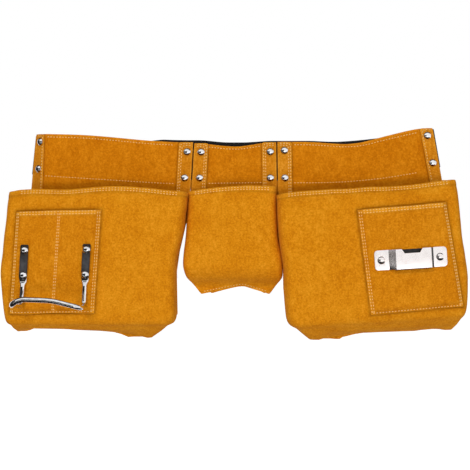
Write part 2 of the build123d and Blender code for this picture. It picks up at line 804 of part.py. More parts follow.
def main():
    os.makedirs("parts", exist_ok=True)
    nodes = {
        "web_belt_center": web_belt_center(),
        "center_facing": center_facing(),
        "center_strip_left": center_strip_left(),
        "center_strip_right": center_strip_right(),
        "center_rivets": rivet_set(centre_rivet_places, belt_stack),
        "center_pouch_back": center_pouch_back(),
        "center_pouch_front": center_pouch_front(),
        "left_gap_web": gap_web(left_gap),
        "right_gap_web": gap_web(right_gap),
        "web_belt_left": web_belt_left(),
        "left_facing": left_facing(),
        "left_inner_strip": left_inner_strip(),
        "left_outer_strip": left_outer_strip(),
        "left_rivets": rivet_set(left_rivet_places, belt_stack),
        "left_bag_back": left_bag_back(),
        "left_bag_front": bag_shell(left_bag_sections),
        "hammer_pocket": patch_pocket(hammer_pocket_corners, hammer_pocket_divider, hammer_rivet_places()),
        "hammer_loop": hammer_loop(),
        "hammer_strap_left": hammer_strap(*hammer_left[:2]),
        "hammer_strap_right": hammer_strap(*hammer_right[:2]),
        "hammer_rivets": rivet_set(hammer_rivet_places(), pocket_inner - hammer_strip_front),
        "web_belt_right": web_belt_right(),
        "right_facing": right_facing(),
        "right_inner_strip": right_inner_strip(),
        "right_outer_strip": right_outer_strip(),
        "right_rivets": rivet_set(right_rivet_places, belt_stack),
        "right_bag_back": right_bag_back(),
        "right_bag_front": bag_shell(right_bag_sections),
        "tape_pocket": patch_pocket(tape_pocket_corners, None, clip_rivet_places()),
        "tape_clip": tape_clip(),
        "tape_clip_rivets": rivet_set(clip_rivet_places(), clip_plate + pocket_wall),
        "left_belt_fold": belt_fold(left_strap_plane, left_fold_radius, 142.0),
        "left_strap": left_strap(),
        "strap_keeper": strap_keeper(),
        "buckle_male": buckle_male(),
        "buckle_prong_upper": buckle_prong(-1),
        "buckle_prong_lower": buckle_prong(1),
        "right_belt_fold": belt_fold(right_strap_plane, right_fold_radius, 180.0),
        "right_strap": right_strap(),
        "buckle_female": buckle_female(),
    }
    for name, shape in nodes.items():
        export_step(shape, f"parts/{name}.step")


main()
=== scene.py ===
import math

import bmesh
import bpy
import numpy as np
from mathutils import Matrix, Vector
from mathutils.bvhtree import BVHTree


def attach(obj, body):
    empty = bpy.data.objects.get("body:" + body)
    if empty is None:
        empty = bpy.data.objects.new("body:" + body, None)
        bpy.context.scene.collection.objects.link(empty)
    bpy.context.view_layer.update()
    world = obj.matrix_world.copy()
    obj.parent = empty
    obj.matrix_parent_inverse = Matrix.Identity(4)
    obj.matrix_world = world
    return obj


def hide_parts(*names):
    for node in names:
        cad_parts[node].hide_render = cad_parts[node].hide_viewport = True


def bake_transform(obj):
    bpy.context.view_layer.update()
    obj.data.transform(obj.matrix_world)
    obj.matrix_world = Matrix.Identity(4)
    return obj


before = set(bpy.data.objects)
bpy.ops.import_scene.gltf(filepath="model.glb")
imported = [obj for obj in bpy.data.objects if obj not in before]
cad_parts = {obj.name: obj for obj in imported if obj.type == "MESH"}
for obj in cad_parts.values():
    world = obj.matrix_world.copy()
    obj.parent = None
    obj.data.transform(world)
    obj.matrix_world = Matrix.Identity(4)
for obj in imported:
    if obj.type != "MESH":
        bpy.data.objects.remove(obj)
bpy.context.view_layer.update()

# The object is drawn in millimetres in the CAD model's frame and scaled to metres when a mesh is
# made. +X is right seen from the front, +Y is back to the wearer, +Z is up.
MM = 0.001

# ---- dimensions shared with the CAD model ----

HALF_WEB = 25.4
WEB = 1.6
LEATHER = 1.8
STRIP_WIDTH = 18.5
HALF_GAP = 0.75
FACING_FRONT = -WEB - LEATHER
FACING_MIDDLE = -WEB - LEATHER / 2
STRIP_FRONT = FACING_FRONT - LEATHER
STRIP_MIDDLE = FACING_FRONT - LEATHER / 2
BAG_DEPTH = 42.0
POCKET_FRONT = -50.8
# Front of the hammer loop's flattened legs.
TONGUE_FRONT = POCKET_FRONT - 2.0

# How far the caps' rims sit into the strips, and how strongly a rivet dimples its layers.
CAP_SINK = 0.25
DIMPLE = 0.45

# Steep lines as (x at z = 0, slope of x over z): the gaps' middles, the panels' outer ends, and the
# inner edges of the two outer strips.
LEFT_GAP = (-54.9, 0.057)
RIGHT_GAP = (54.5, -0.014)
LEFT_END = (-263.9, 0.107)
RIGHT_END = (263.8, -0.179)
LEFT_OUTER_FOLD = (-248.9, 0.044)
RIGHT_OUTER_FOLD = (247.6, -0.19)

# The left panel's end turns back round the hip: x where it starts, y of the arc's centre, and angle.
TURN_START = -240.0
TURN_CENTRE = 12.0
TURN_ANGLE = math.radians(38.0)

# Cap rivets (x, z).
LEFT_INNER_RIVETS = [(-62.2, 12.9), (-65.4, -21.0)]
LEFT_OUTER_RIVETS = [(-254.0, 26.5), (-256.8, -8.5)]
CENTRE_RIVETS = [(-44.0, 12.6), (-45.9, -21.0), (45.6, 13.0), (45.8, -21.0)]
RIGHT_RIVETS = [(64.0, 14.6), (64.8, -21.0), (249.2, 34.0), (256.2, -1.5)]

# Sections of the bags from mouth to seam: left corner (x, z), right corner (x, z), depth.
LEFT_BAG = [
    ((-286.7, -39.3), (-60.0, -43.6), 34.0),
    ((-288.6, -57.0), (-60.8, -58.0), 42.0),
    ((-291.4, -86.7), (-64.4, -86.0), 42.0),
    ((-294.6, -116.0), (-71.4, -116.0), 42.0),
    ((-297.0, -146.6), (-75.2, -142.0), 42.0),
    ((-292.3, -198.0), (-74.2, -198.0), 42.0),
    ((-286.5, -209.5), (-87.0, -211.0), 30.0),
    ((-283.0, -217.7), (-104.5, -225.3), 11.0),
    ((-282.0, -220.0), (-107.0, -227.6), 3.6),
]
CENTRE_POUCH = [
    ((-59.0, -39.4), (52.4, -33.4), 26.0),
    ((-59.8, -58.0), (52.6, -58.0), 30.0),
    ((-63.2, -98.0), (54.4, -96.0), 30.0),
    ((-65.4, -120.0), (58.4, -118.0), 30.0),
    ((-66.4, -136.0), (61.3, -136.0), 30.0),
    ((-62.6, -148.5), (60.8, -149.0), 22.0),
    ((-55.6, -157.5), (55.0, -158.5), 8.0),
    ((-44.2, -171.6), (45.3, -171.8), 3.6),
]
RIGHT_BAG = [
    ((53.4, -44.5), (280.5, -24.6), 34.0),
    ((53.2, -62.0), (282.6, -42.0), 42.0),
    ((55.2, -96.0), (286.2, -76.0), 42.0),
    ((58.9, -118.0), (288.4, -98.0), 42.0),
    ((61.9, -138.0), (291.4, -120.0), 42.0),
    ((62.4, -164.0), (295.0, -150.0), 42.0),
    ((66.0, -203.0), (293.6, -188.5), 42.0),
    ((79.5, -215.0), (288.0, -202.5), 30.0),
    ((94.0, -228.0), (281.5, -215.6), 11.0),
    ((97.0, -230.0), (280.5, -217.6), 3.6),
]
# Lower edges (x, z) of the bags, which hang in shallow waves between their corners.
LEFT_HEM = [(-283, -219.8), (-275.6, -218.5), (-268, -216), (-260, -214.7), (-229, -214.7), (-221, -216),
            (-206, -217.3), (-175, -218.5), (-160, -219.8), (-144, -221.1), (-129, -223.7), (-113, -227.6),
            (-106, -227.0)]
CENTRE_HEM = [(-60, -147.5), (-44.2, -171.6), (9.7, -160.8), (45.3, -171.8), (60, -148)]
RIGHT_HEM = [(95, -229.5), (102, -230.1), (109, -230.1), (117, -227.5), (125, -226.3), (140, -223.7),
             (164, -221.1), (195, -219.8), (233, -218.5), (241, -217.3), (256, -216), (264, -216),
             (272, -217.3), (281, -217)]
# Patch corners from the top left round to the low left.
HAMMER_POCKET = [(-272.8, -65.2), (-166.3, -62.9), (-175.3, -192.5), (-281.7, -193.9)]
# Where the seam that halves the hammer patch meets its foot and its top.
HAMMER_DIVIDER = (-226.7, -218.6)
TAPE_POCKET = [(152.4, -63.4), (263.5, -54.0), (285.6, -184.4), (169.4, -195.0)]
# Hammer loop: top and foot of each strap and low end of each leg; rivets as shares of a strap; the
# bar; how far it stands off the pocket.
HAMMER_LEFT = ((-260.3, -107.0), (-262.7, -151.5), (-264.4, -183.5))
HAMMER_RIGHT = ((-183.4, -106.0), (-185.9, -150.5), (-187.0, -183.0))
HAMMER_RIVETS = (0.157, 0.854)
HAMMER_BAR = [(-264.5, -177.2), (-253, -170.6), (-216, -171.9), (-181.5, -180.9)]
HAMMER_REACH = 54.0
WIRE_RADIUS = 2.9
HAMMER_STRAP_WIDTH = 10.0
HAMMER_STRAP_THICK = 1.6
# Tape clip: centre (x, z), tilt, its rivets' distance from the centre, and how far the fronts of its
# plate and of its bridge stand off the pocket.
CLIP_CENTRE = (217.8, -124.0)
CLIP_TILT = math.radians(3.6)
CLIP_RIVET_OFFSET = 36.5
CLIP_PLATE = 1.5
CLIP_BRIDGE = 7.5

# ---- details that only the visual model has ----

# Bags: width of the turned hem, how far the waves of the mouth and of the seam reach in, and how far
# in from a side the front turns flat.
HEM_TURN = 6.0
MOUTH_WAVES = 34.0
SEAM_WAVES = 15.0
SHOULDER = 11.0
# Distances of the grid lines next to a sheet's edge, and how far in the edge is worn.
EDGE_STEPS = (0.0, 0.14, 0.45, 0.95)
EDGE_WEAR = 0.9
# Stitches: pitch, share of it that shows, distance kept from rivets, insets on an edge strip.
STITCH_PITCH = 3.8
STITCH_FILL = 0.66
RIVET_CLEARANCE = 5.2
STRIP_INSETS = (2.0, 4.4)
# The stage, in metres, and the camera's lens and film, in millimetres.
FLOOR_LEVEL = -0.62
FLOOR_REACH = 9.0
CAMERA_PLACE = (0.0, -1.1, -0.0949)
LENS = 64.8
FILM = 36.0
LAMP_TARGET = (0, 0, -0.1)

# ---- small mathematics ----


def on_line(line, z):
    return line[0] + line[1] * z


def edge_of(line):
    """Function z -> x along a steep line."""
    return lambda z: on_line(line, z)


def shifted(line, offset):
    return (line[0] + offset, line[1])


def smooth(value, low, high):
    """0 below low, 1 above high, easing between."""
    t = np.clip((value - low) / (high - low), 0, 1)
    return t * t * (3 - 2 * t)


def hump(value, wide):
    """1 at 0, falling off on both sides."""
    return np.exp(-(value / wide) ** 2)


def rumple(a, b, size, seed):
    """Seeded smooth noise of about -1 to 1 over the plane (a, b), with bumps size across."""
    table = np.random.RandomState(seed).uniform(-1, 1, (64, 64))
    a = np.asarray(a, float) / size + 640
    b = np.asarray(b, float) / size + 640
    ia = np.floor(a).astype(int)
    ib = np.floor(b).astype(int)
    fa = a - ia
    fb = b - ib
    fa = fa * fa * (3 - 2 * fa)
    fb = fb * fb * (3 - 2 * fb)
    low = table[ia % 64, ib % 64] * (1 - fa) + table[(ia + 1) % 64, ib % 64] * fa
    high = table[ia % 64, (ib + 1) % 64] * (1 - fa) + table[(ia + 1) % 64, (ib + 1) % 64] * fa
    return low * (1 - fb) + high * fb


def spline(points, count=40):
    """Smooth curve through points as an array, count samples between each pair."""
    p = np.array(points, float)
    p = np.vstack([2 * p[0] - p[1], p, 2 * p[-1] - p[-2]])
    out = []
    for i in range(1, len(p) - 2):
        t = np.linspace(0, 1, count, endpoint=False)[:, None]
        a, b, c, d = p[i - 1], p[i], p[i + 1], p[i + 2]
        out.append(0.5 * (2 * b + (c - a) * t + (2 * a - 5 * b + 4 * c - d) * t**2
                          + (3 * b - a - 3 * c + d) * t**3))
    out.append(p[-2][None, :])
    return np.vstack(out)


def curve(points):
    """Function x -> z that passes smoothly through points."""
    line = spline(points)
    order = np.argsort(line[:, 0])
    return lambda x: np.interp(x, line[order, 0], line[order, 1])


def run_along(path):
    """Distance from the start of a path to each of its points."""
    return np.concatenate([[0], np.cumsum(np.linalg.norm(np.diff(path, axis=0), axis=1))])


def spaced(length, step):
    """Shares 0 to 1 of a length, step apart, with closer ones at both ends so that edges round off."""
    first = EDGE_STEPS[-1]
    count = max(2, int(round((length - 2 * first) / step)))
    inner = np.linspace(first, length - first, count + 1)
    ends = list(EDGE_STEPS[:-1])
    return np.array(ends + list(inner) + [length - e for e in reversed(ends)]) / length


def turned_y(x, depth):
    """y on the left unit at x, for the layer whose flat part lies at y = depth."""
    radius = TURN_CENTRE - depth
    run = TURN_START - np.asarray(x, float)
    edge = radius * math.sin(TURN_ANGLE)
    arc = TURN_CENTRE - np.sqrt(np.maximum(radius**2 - np.clip(run, 0, edge) ** 2, 0))
    return arc + np.maximum(run - edge, 0) * math.tan(TURN_ANGLE)


# ---- materials ----


class Look:
    """A procedural material: short calls that add and join nodes."""

    def __init__(self, name, **settings):
        self.material = bpy.data.materials.new(name)
        self.material.use_nodes = True
        self.nodes = self.material.node_tree.nodes
        self.links = self.material.node_tree.links
        self.shader = self.nodes["Principled BSDF"]
        for socket, value in settings.items():
            self.shader.inputs[socket.replace("_", " ")].default_value = value
        self.place = self.nodes.new("ShaderNodeTexCoord").outputs["Object"]

    def put(self, socket, value):
        if hasattr(value, "is_linked"):
            self.links.new(value, socket)
        else:
            socket.default_value = value

    def attribute(self, name, output="Fac"):
        node = self.nodes.new("ShaderNodeAttribute")
        node.attribute_name = name
        return node.outputs[output]

    def stretch(self, vector, factors):
        node = self.nodes.new("ShaderNodeMapping")
        node.inputs["Scale"].default_value = factors
        self.links.new(vector, node.inputs["Vector"])
        return node.outputs["Vector"]

    def noise(self, scale, detail, vector=None, roughness=0.55):
        node = self.nodes.new("ShaderNodeTexNoise")
        node.inputs["Scale"].default_value = scale
        node.inputs["Detail"].default_value = detail
        node.inputs["Roughness"].default_value = roughness
        self.links.new(vector or self.place, node.inputs["Vector"])
        return node.outputs["Fac"]

    def math(self, operation, a, b=0.0):
        node = self.nodes.new("ShaderNodeMath")
        node.operation = operation
        self.put(node.inputs[0], a)
        self.put(node.inputs[1], b)
        return node.outputs[0]

    def mix(self, share, a, b):
        """Blend of two colours. Sockets 6 and 7 and output 2 are a Mix node's colours."""
        node = self.nodes.new("ShaderNodeMix")
        node.data_type = "RGBA"
        self.put(node.inputs["Factor"], share)
        self.put(node.inputs[6], a)
        self.put(node.inputs[7], b)
        return node.outputs[2]

    def levels(self, value, low, high, out_low=0.0, out_high=1.0):
        node = self.nodes.new("ShaderNodeMapRange")
        self.put(node.inputs["Value"], value)
        for name, number in zip(("From Min", "From Max", "To Min", "To Max"), (low, high, out_low, out_high)):
            node.inputs[name].default_value = number
        return node.outputs[0]

    def bump(self, height, strength, distance, under=None):
        node = self.nodes.new("ShaderNodeBump")
        node.inputs["Strength"].default_value = strength
        node.inputs["Distance"].default_value = distance
        self.links.new(height, node.inputs["Height"])
        if under is not None:
            self.links.new(under, node.inputs["Normal"])
        return node.outputs["Normal"]

    def finish(self, color, roughness, normal):
        for socket, value in (("Base Color", color), ("Roughness", roughness), ("Normal", normal)):
            self.links.new(value, self.shader.inputs[socket])
        return self.material


def srgb(red, green, blue):
    """Linear colour from 0-255 display values."""
    shares = [c / 255 for c in (red, green, blue)]
    return tuple(c / 12.92 if c <= 0.04045 else ((c + 0.055) / 1.055) ** 2.4 for c in shares) + (1.0,)


def grey(level):
    return (level, level, level, 1.0)


def suede(name, dark, middle, light):
    """Split leather: soft nap, blotches, faint vertical drag marks, paler worn edges, and painted shade where
    the shade attribute is set.
    """
    look = Look(name, Sheen_Weight=0.04, Sheen_Roughness=0.45, Specular_IOR_Level=0.07)
    look.shader.inputs["Sheen Tint"].default_value = (1.0, 0.72, 0.35, 1.0)
    blotch = look.noise(26.0, 4.0)
    cloud = look.noise(95.0, 4.0)
    drag = look.noise(230.0, 3.0, look.stretch(look.place, (1.0, 1.0, 0.3)))
    grain = look.noise(430.0, 4.0, roughness=0.7)
    nap = look.noise(1300.0, 3.0)
    tone = look.math("MULTIPLY", blotch, 0.2)
    for layer, share in ((cloud, 0.2), (drag, 0.14), (grain, 0.62), (nap, 0.24)):
        tone = look.math("ADD", tone, look.math("MULTIPLY", layer, share))
    color = look.mix(look.levels(tone, 0.56, 0.7), dark, middle)
    color = look.mix(look.levels(tone, 0.7, 0.84), color, light)
    worn = look.attribute("worn")
    ragged = look.math("MULTIPLY", worn, look.levels(cloud, 0.3, 0.62, 0.45, 1.0))
    pale = tuple(min(1.0, c * 1.45 + 0.02) for c in light[:3]) + (1.0,)
    color = look.mix(look.levels(ragged, 0.0, 1.0, 0.0, 0.55), color, pale)
    # Painted shade: a deep copy of the dark tone, mixed in where the shade attribute is set.
    deep = tuple(c * 0.36 for c in dark[:3]) + (1.0,)
    color = look.mix(look.levels(look.attribute("painted_shade"), 0.0, 1.0, 0.0, 0.9), color, deep)
    normal = look.bump(cloud, 0.25, 0.0010)
    normal = look.bump(grain, 0.5, 0.0007, normal)
    normal = look.bump(nap, 0.4, 0.0003, normal)
    rough = look.levels(nap, 0.3, 0.7, 0.82, 0.97)
    return look.finish(color, rough, normal)


def woven(name):
    """Black webbing: herringbone rows from the flat coordinates of each piece."""
    rows_apart, picks_apart = 6.35, 1.5
    look = Look(name, Specular_IOR_Level=0.12)
    split = look.nodes.new("ShaderNodeSeparateXYZ")
    look.links.new(look.attribute("flat", "Vector"), split.inputs[0])
    along, across = split.outputs[0], split.outputs[1]
    row = look.math("FRACT", look.math("DIVIDE", across, rows_apart))
    slant = look.math("ABSOLUTE", look.math("SUBTRACT", row, 0.5))
    phase = look.math("ADD", look.math("DIVIDE", along, picks_apart), look.math("MULTIPLY", slant, 4.0))
    yarn = look.math("SINE", look.math("MULTIPLY", phase, 2 * math.pi))
    weft = look.math("SINE", look.math("MULTIPLY", across, 7.9))
    height = look.math("ADD", look.math("MULTIPLY", yarn, 0.5), look.math("MULTIPLY", weft, 0.18))
    fuzz = look.noise(1500.0, 2.0)
    height = look.math("ADD", height, look.math("MULTIPLY", fuzz, 0.5))
    color = look.mix(look.levels(height, -0.5, 0.9), grey(0.003), grey(0.012))
    color = look.mix(look.math("MULTIPLY", look.attribute("worn"), 0.5), color, (0.045, 0.045, 0.047, 1.0))
    normal = look.bump(height, 0.55, 0.0005)
    return look.finish(color, look.levels(fuzz, 0.3, 0.7, 0.55, 0.8), normal)


def thread(name, dark, light):
    """Twisted sewing thread."""
    look = Look(name, Specular_IOR_Level=0.3)
    color = look.mix(look.noise(220.0, 2.0), dark, light)
    twist = look.noise(2600.0, 1.0)
    return look.finish(color, look.levels(twist, 0.3, 0.7, 0.45, 0.7), look.bump(twist, 0.4, 0.0002))


def metal(name, color, worn, low, high):
    """Plated steel: faint smudges in the gloss, fine scratches and dulled spots."""
    look = Look(name, Metallic=1.0)
    smudge = look.noise(140.0, 3.0)
    scratch = look.noise(900.0, 2.0, look.stretch(look.place, (1.0, 1.0, 0.06)))
    tint = look.mix(look.levels(smudge, 0.42, 0.68), color, worn)
    return look.finish(tint, look.levels(smudge, 0.3, 0.7, low, high), look.bump(scratch, 0.06, 0.0001))


def moulded(name):
    """Black acetal: fine spark texture and a faintly cloudy gloss."""
    look = Look(name, Specular_IOR_Level=0.5)
    grain = look.noise(1800.0, 2.0)
    cloud = look.noise(70.0, 3.0)
    color = look.mix(look.levels(cloud, 0.35, 0.7), (0.010, 0.010, 0.011, 1.0), (0.020, 0.020, 0.021, 1.0))
    return look.finish(color, look.levels(cloud, 0.3, 0.7, 0.32, 0.5), look.bump(grain, 0.22, 0.00025))


def black_hide(name):
    """Black strap leather with a grey middle, partly rubbed and partly a painted highlight of its sheen."""
    look = Look(name, Specular_IOR_Level=0.25)
    grain = look.noise(700.0, 3.0)
    cloud = look.noise(160.0, 3.0)
    color = look.mix(look.levels(cloud, 0.35, 0.65), grey(0.010), (0.022, 0.021, 0.020, 1.0))
    # Rubbed grey, which also serves as a painted highlight of the strap's sheen.
    rub_and_sheen = look.math("MULTIPLY", look.attribute("rub_and_sheen"), look.levels(cloud, 0.3, 0.6, 0.4, 1.0))
    color = look.mix(rub_and_sheen, color, (0.075, 0.072, 0.075, 1.0))
    return look.finish(color, look.levels(grain, 0.3, 0.7, 0.3, 0.55), look.bump(grain, 0.3, 0.0003))


# Dark, middle and light tone of each suede, as display values.
SUEDE_TONES = {
    "suede_bag": ((193, 110, 8), (214, 134, 14), (231, 156, 36)),
    # The panel suede is a darker copy of the bag's suede, as painted shade on the recessed facings.
    "suede_panel": ((186, 101, 3), (207, 121, 8), (225, 142, 24)),
    "suede_patch": ((187, 104, 5), (208, 127, 12), (227, 150, 32)),
    "suede_strip": ((190, 108, 8), (210, 130, 20), (232, 156, 46)),
}


def make_looks():
    return {
        **{name: suede(name, *(srgb(*tone) for tone in tones)) for name, tones in SUEDE_TONES.items()},
        "black_webbing": woven("black_webbing"),
        "cream_thread": thread("cream_thread", srgb(232, 178, 88), srgb(252, 218, 144)),
        "rivet_chrome": metal("rivet_chrome", (0.86, 0.86, 0.87, 1.0), (0.66, 0.66, 0.67, 1.0), 0.06, 0.14),
        "loop_chrome": metal("loop_chrome", (0.84, 0.84, 0.85, 1.0), (0.6, 0.6, 0.61, 1.0), 0.04, 0.12),
        "clip_steel": metal("clip_steel", (0.92, 0.865, 0.845, 1.0), (0.86, 0.80, 0.78, 1.0), 0.16, 0.26),
        "black_leather": black_hide("black_leather"),
        "black_plastic": moulded("black_plastic"),
    }


looks = make_looks()
# Surfaces that stitches can be laid on, by node.
surfaces = {}

# ---- mesh makers ----


def link_object(name, data):
    thing = bpy.data.objects.new(name, data)
    bpy.context.scene.collection.objects.link(thing)
    return thing


def add_mesh(node, points, faces, look, body):
    """Mesh object from points in millimetres, riding on a body or on none. Where node names a CAD node, the
    mesh stands in for it."""
    in_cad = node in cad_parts
    name = node + "_look" if in_cad else node
    mesh = bpy.data.meshes.new(name)
    mesh.from_pydata((np.asarray(points) * MM).tolist(), [], faces)
    mesh.polygons.foreach_set("use_smooth", [True] * len(mesh.polygons))
    mesh.materials.append(looks[look])
    mesh.update()
    piece = link_object(name, mesh)
    if body:
        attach(piece, body)
    if in_cad:
        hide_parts(node)
    return piece


def give(piece, name, values):
    """Stores one number for each vertex."""
    layer = piece.data.attributes.new(name, "FLOAT", "POINT")
    layer.data.foreach_set("value", np.asarray(values, np.float32))


def grid_run(grid, axis):
    """Distance in mm along one direction of a grid, from its first row or column."""
    steps = np.linalg.norm(np.diff(grid, axis=axis), axis=2)
    start = np.zeros_like(np.take(steps, [0], axis=axis))
    return np.concatenate([start, np.cumsum(steps, axis=axis)], axis=axis)


def grid_normal(grid):
    across = np.gradient(grid, axis=1)
    up = np.gradient(grid, axis=0)
    normal = np.cross(across, up)
    return normal / np.maximum(np.linalg.norm(normal, axis=2, keepdims=True), 1e-9)


def skin(node, grid, thickness, look, body, painted_shade=None, raised=None, rub_and_sheen=None, pale=None):
    """Closed sheet around a grid of middle points, rows going up and columns going right.
    Its edges are rounded. raised is extra thickness on the front, the shade values darken the front as
    painted shade, pale is where it is faded, and the rub values are where it is rubbed, also as a painted
    highlight of a strap's sheen."""
    rows, cols = grid.shape[:2]
    normal = grid_normal(grid)
    across = grid_run(grid, 1)
    up = grid_run(grid, 0)
    reach = np.minimum(np.minimum(across, across[:, -1:] - across), np.minimum(up, up[-1:, :] - up))
    half = thickness / 2
    lift = half * np.sqrt(1 - (1 - np.clip(reach / half, 0, 1)) ** 2)
    front_lift = lift if raised is None else lift + raised * np.clip(reach / half, 0, 1)
    front = grid + normal * front_lift[..., None]
    back = (grid - normal * lift[..., None])[1:-1, 1:-1]
    points = np.vstack([front.reshape(-1, 3), back.reshape(-1, 3)])
    index = np.arange(rows * cols).reshape(rows, cols)
    under = index.copy()
    under[1:-1, 1:-1] = rows * cols + np.arange((rows - 2) * (cols - 2)).reshape(rows - 2, cols - 2)

    def quads(table, flip):
        corners = [table[:-1, :-1], table[:-1, 1:], table[1:, 1:], table[1:, :-1]]
        if flip:
            corners.reverse()
        return np.stack([c.ravel() for c in corners], axis=1).tolist()

    faces = quads(index, False) + quads(under, True)
    piece = add_mesh(node, points, faces, look, body)

    def both(values):
        return np.concatenate([values.ravel(), values[1:-1, 1:-1].ravel()])

    worn = np.exp(-reach / EDGE_WEAR)
    if pale is not None:
        worn = np.maximum(worn, pale)
    give(piece, "worn", both(worn))
    # Painted shade on the front only.
    dark = np.zeros((rows, cols)) if painted_shade is None else painted_shade
    give(piece, "painted_shade", np.concatenate([dark.ravel(), np.zeros((rows - 2) * (cols - 2))]))
    if rub_and_sheen is not None:
        give(piece, "rub_and_sheen", both(rub_and_sheen))
    flat = np.stack([both(across), both(up), np.zeros(len(points))], axis=1)
    layer = piece.data.attributes.new("flat", "FLOAT_VECTOR", "POINT")
    layer.data.foreach_set("vector", flat.astype(np.float32).ravel())
    surfaces[node] = BVHTree.FromPolygons(points.tolist(), faces)
    return piece


def uv_grid(width, height, step):
    return np.meshgrid(spaced(width, step), spaced(height, step))


def panel(node, left, right, low, high, depth, look, body, thickness=LEATHER, step=2.2, painted_shade=None):
    """Sheet between two side edges x(z) and two level edges z(x), with its middle at y = depth(x, z)."""
    z_low = float(np.mean(low(np.array([left(0.0), right(0.0)]))))
    z_high = float(np.mean(high(np.array([left(0.0), right(0.0)]))))
    middle = (z_low + z_high) / 2
    u, v = uv_grid(float(right(middle) - left(middle)), z_high - z_low, step)
    x = left(middle) + u * (right(middle) - left(middle))
    z = low(x) + v * (high(x) - low(x))
    x = left(z) + u * (right(z) - left(z))
    y = depth(x, z)
    dark = None if painted_shade is None else painted_shade(x, z)
    return skin(node, np.stack([x, y, z], axis=2), thickness, look, body, painted_shade=dark)


def dimples(x, z, places, deep=DIMPLE, wide=6.5):
    """Pressed-in leather round each rivet."""
    total = np.zeros_like(x)
    for px, pz in places:
        total = total + deep * np.exp(-((x - px) ** 2 + (z - pz) ** 2) / wide**2)
    return total


class Thread:
    """Collects stitches that ride on one body, then makes them one mesh."""

    RING = 6
    # Along a stitch: share of its length, height above the leather, radius.
    SWELL = ((0, -0.5, 0.26), (0.22, 0.08, 0.50), (0.5, 0.20, 0.55), (0.78, 0.08, 0.50), (1, -0.5, 0.26))

    def __init__(self):
        self.starts = []
        self.ends = []
        self.ups = []

    def row(self, node, path, toward=1, skip=()):
        """Stitches along the path [(x, z), ...] where it meets a surface, seen along toward * Y."""
        path = np.array(path, float)
        steps = run_along(path)
        distances = np.linspace(0, steps[-1], max(1, int(steps[-1] / STITCH_PITCH)) + 1)
        hits = []
        for x, z in zip(np.interp(distances, steps, path[:, 0]), np.interp(distances, steps, path[:, 1])):
            hit = surfaces[node].ray_cast(Vector((x, -300.0 * toward, z)), Vector((0, toward, 0)))
            hits.append(None if hit[0] is None else (np.array(hit[0]), np.array(hit[1])))
        for one, two in zip(hits[:-1], hits[1:]):
            if one is None or two is None or np.linalg.norm(two[0] - one[0]) > 2 * STITCH_PITCH:
                continue
            span = two[0] - one[0]
            middle = (one[0] + two[0]) / 2
            if any(math.hypot(middle[0] - x, middle[2] - z) < RIVET_CLEARANCE for x, z in skip):
                continue
            self.starts.append(middle - span * STITCH_FILL / 2)
            self.ends.append(middle + span * STITCH_FILL / 2)
            self.ups.append(one[1] + two[1])

    def make(self, name, body):
        start, end, up = (np.array(v) for v in (self.starts, self.ends, self.ups))
        up /= np.linalg.norm(up, axis=1, keepdims=True)
        along = end - start
        along /= np.linalg.norm(along, axis=1, keepdims=True)
        side = np.cross(along, up)
        side /= np.linalg.norm(side, axis=1, keepdims=True)
        lean = np.random.RandomState(len(start)).uniform(-0.12, 0.12, (len(start), 1))
        rings = []
        for share, height, radius in self.SWELL:
            centre = start + (end - start) * share + up * height + side * lean * (share - 0.5) * 2
            for corner in range(self.RING):
                angle = 2 * math.pi * corner / self.RING
                rings.append(centre + (math.cos(angle) * side + math.sin(angle) * up) * radius)
        points = np.stack(rings, axis=1)
        per = points.shape[1]
        one = []
        for first in range(0, per - self.RING, self.RING):
            for corner in range(self.RING):
                a = first + corner
                b = first + (corner + 1) % self.RING
                one.append((a, b, b + self.RING, a + self.RING))
        one += [tuple(reversed(range(self.RING))), tuple(range(per - self.RING, per))]
        faces = [tuple(stitch * per + i for i in face) for stitch in range(len(start)) for face in one]
        add_mesh(name, points.reshape(-1, 3), faces, "cream_thread", body)


def softened(node, look, body, width):
    """Copy of a CAD node with its edges rounded over, standing in for the node."""
    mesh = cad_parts[node].data.copy()
    mesh.materials.clear()
    mesh.materials.append(looks[look])
    work = bmesh.new()
    work.from_mesh(mesh)
    bmesh.ops.remove_doubles(work, verts=work.verts, dist=1e-6)
    bmesh.ops.dissolve_limit(work, angle_limit=math.radians(1.0), verts=work.verts, edges=work.edges)
    work.to_mesh(mesh)
    work.free()
    if "custom_normal" in mesh.attributes:
        mesh.attributes.remove(mesh.attributes["custom_normal"])
    piece = link_object(node + "_look", mesh)
    bevel = piece.modifiers.new("round", "BEVEL")
    bevel.width = width * MM
    bevel.segments = 3
    bevel.limit_method = "ANGLE"
    bevel.angle_limit = math.radians(30)
    bpy.context.view_layer.update()
    done = bpy.data.meshes.new_from_object(piece.evaluated_get(bpy.context.evaluated_depsgraph_get()))
    piece.modifiers.clear()
    piece.data = done
    done.polygons.foreach_set("use_smooth", [True] * len(done.polygons))
    done.set_sharp_from_angle(angle=math.radians(38))
    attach(piece, body)
    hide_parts(node)


def lathe(places, profile):
    """Points and faces of one turned shape at each place; a place is (origin, outward, across)."""
    sides = 40
    points = []
    faces = []
    for origin, outward, across in places:
        outward = np.array(outward, float)
        across = np.array(across, float)
        other = np.cross(outward, across)
        base = len(points)
        for radius, height in profile:
            for k in range(sides):
                angle = 2 * math.pi * k / sides
                spoke = math.cos(angle) * across + math.sin(angle) * other
                points.append(np.array(origin) + outward * height + spoke * radius)
        for ring in range(len(profile) - 1):
            for k in range(sides):
                a = base + ring * sides + k
                b = base + ring * sides + (k + 1) % sides
                faces.append((a, a + sides, b + sides, b))
        faces.append(tuple(base + k for k in range(sides)))
        last = base + (len(profile) - 1) * sides
        faces.append(tuple(last + k for k in reversed(range(sides))))
    return points, faces


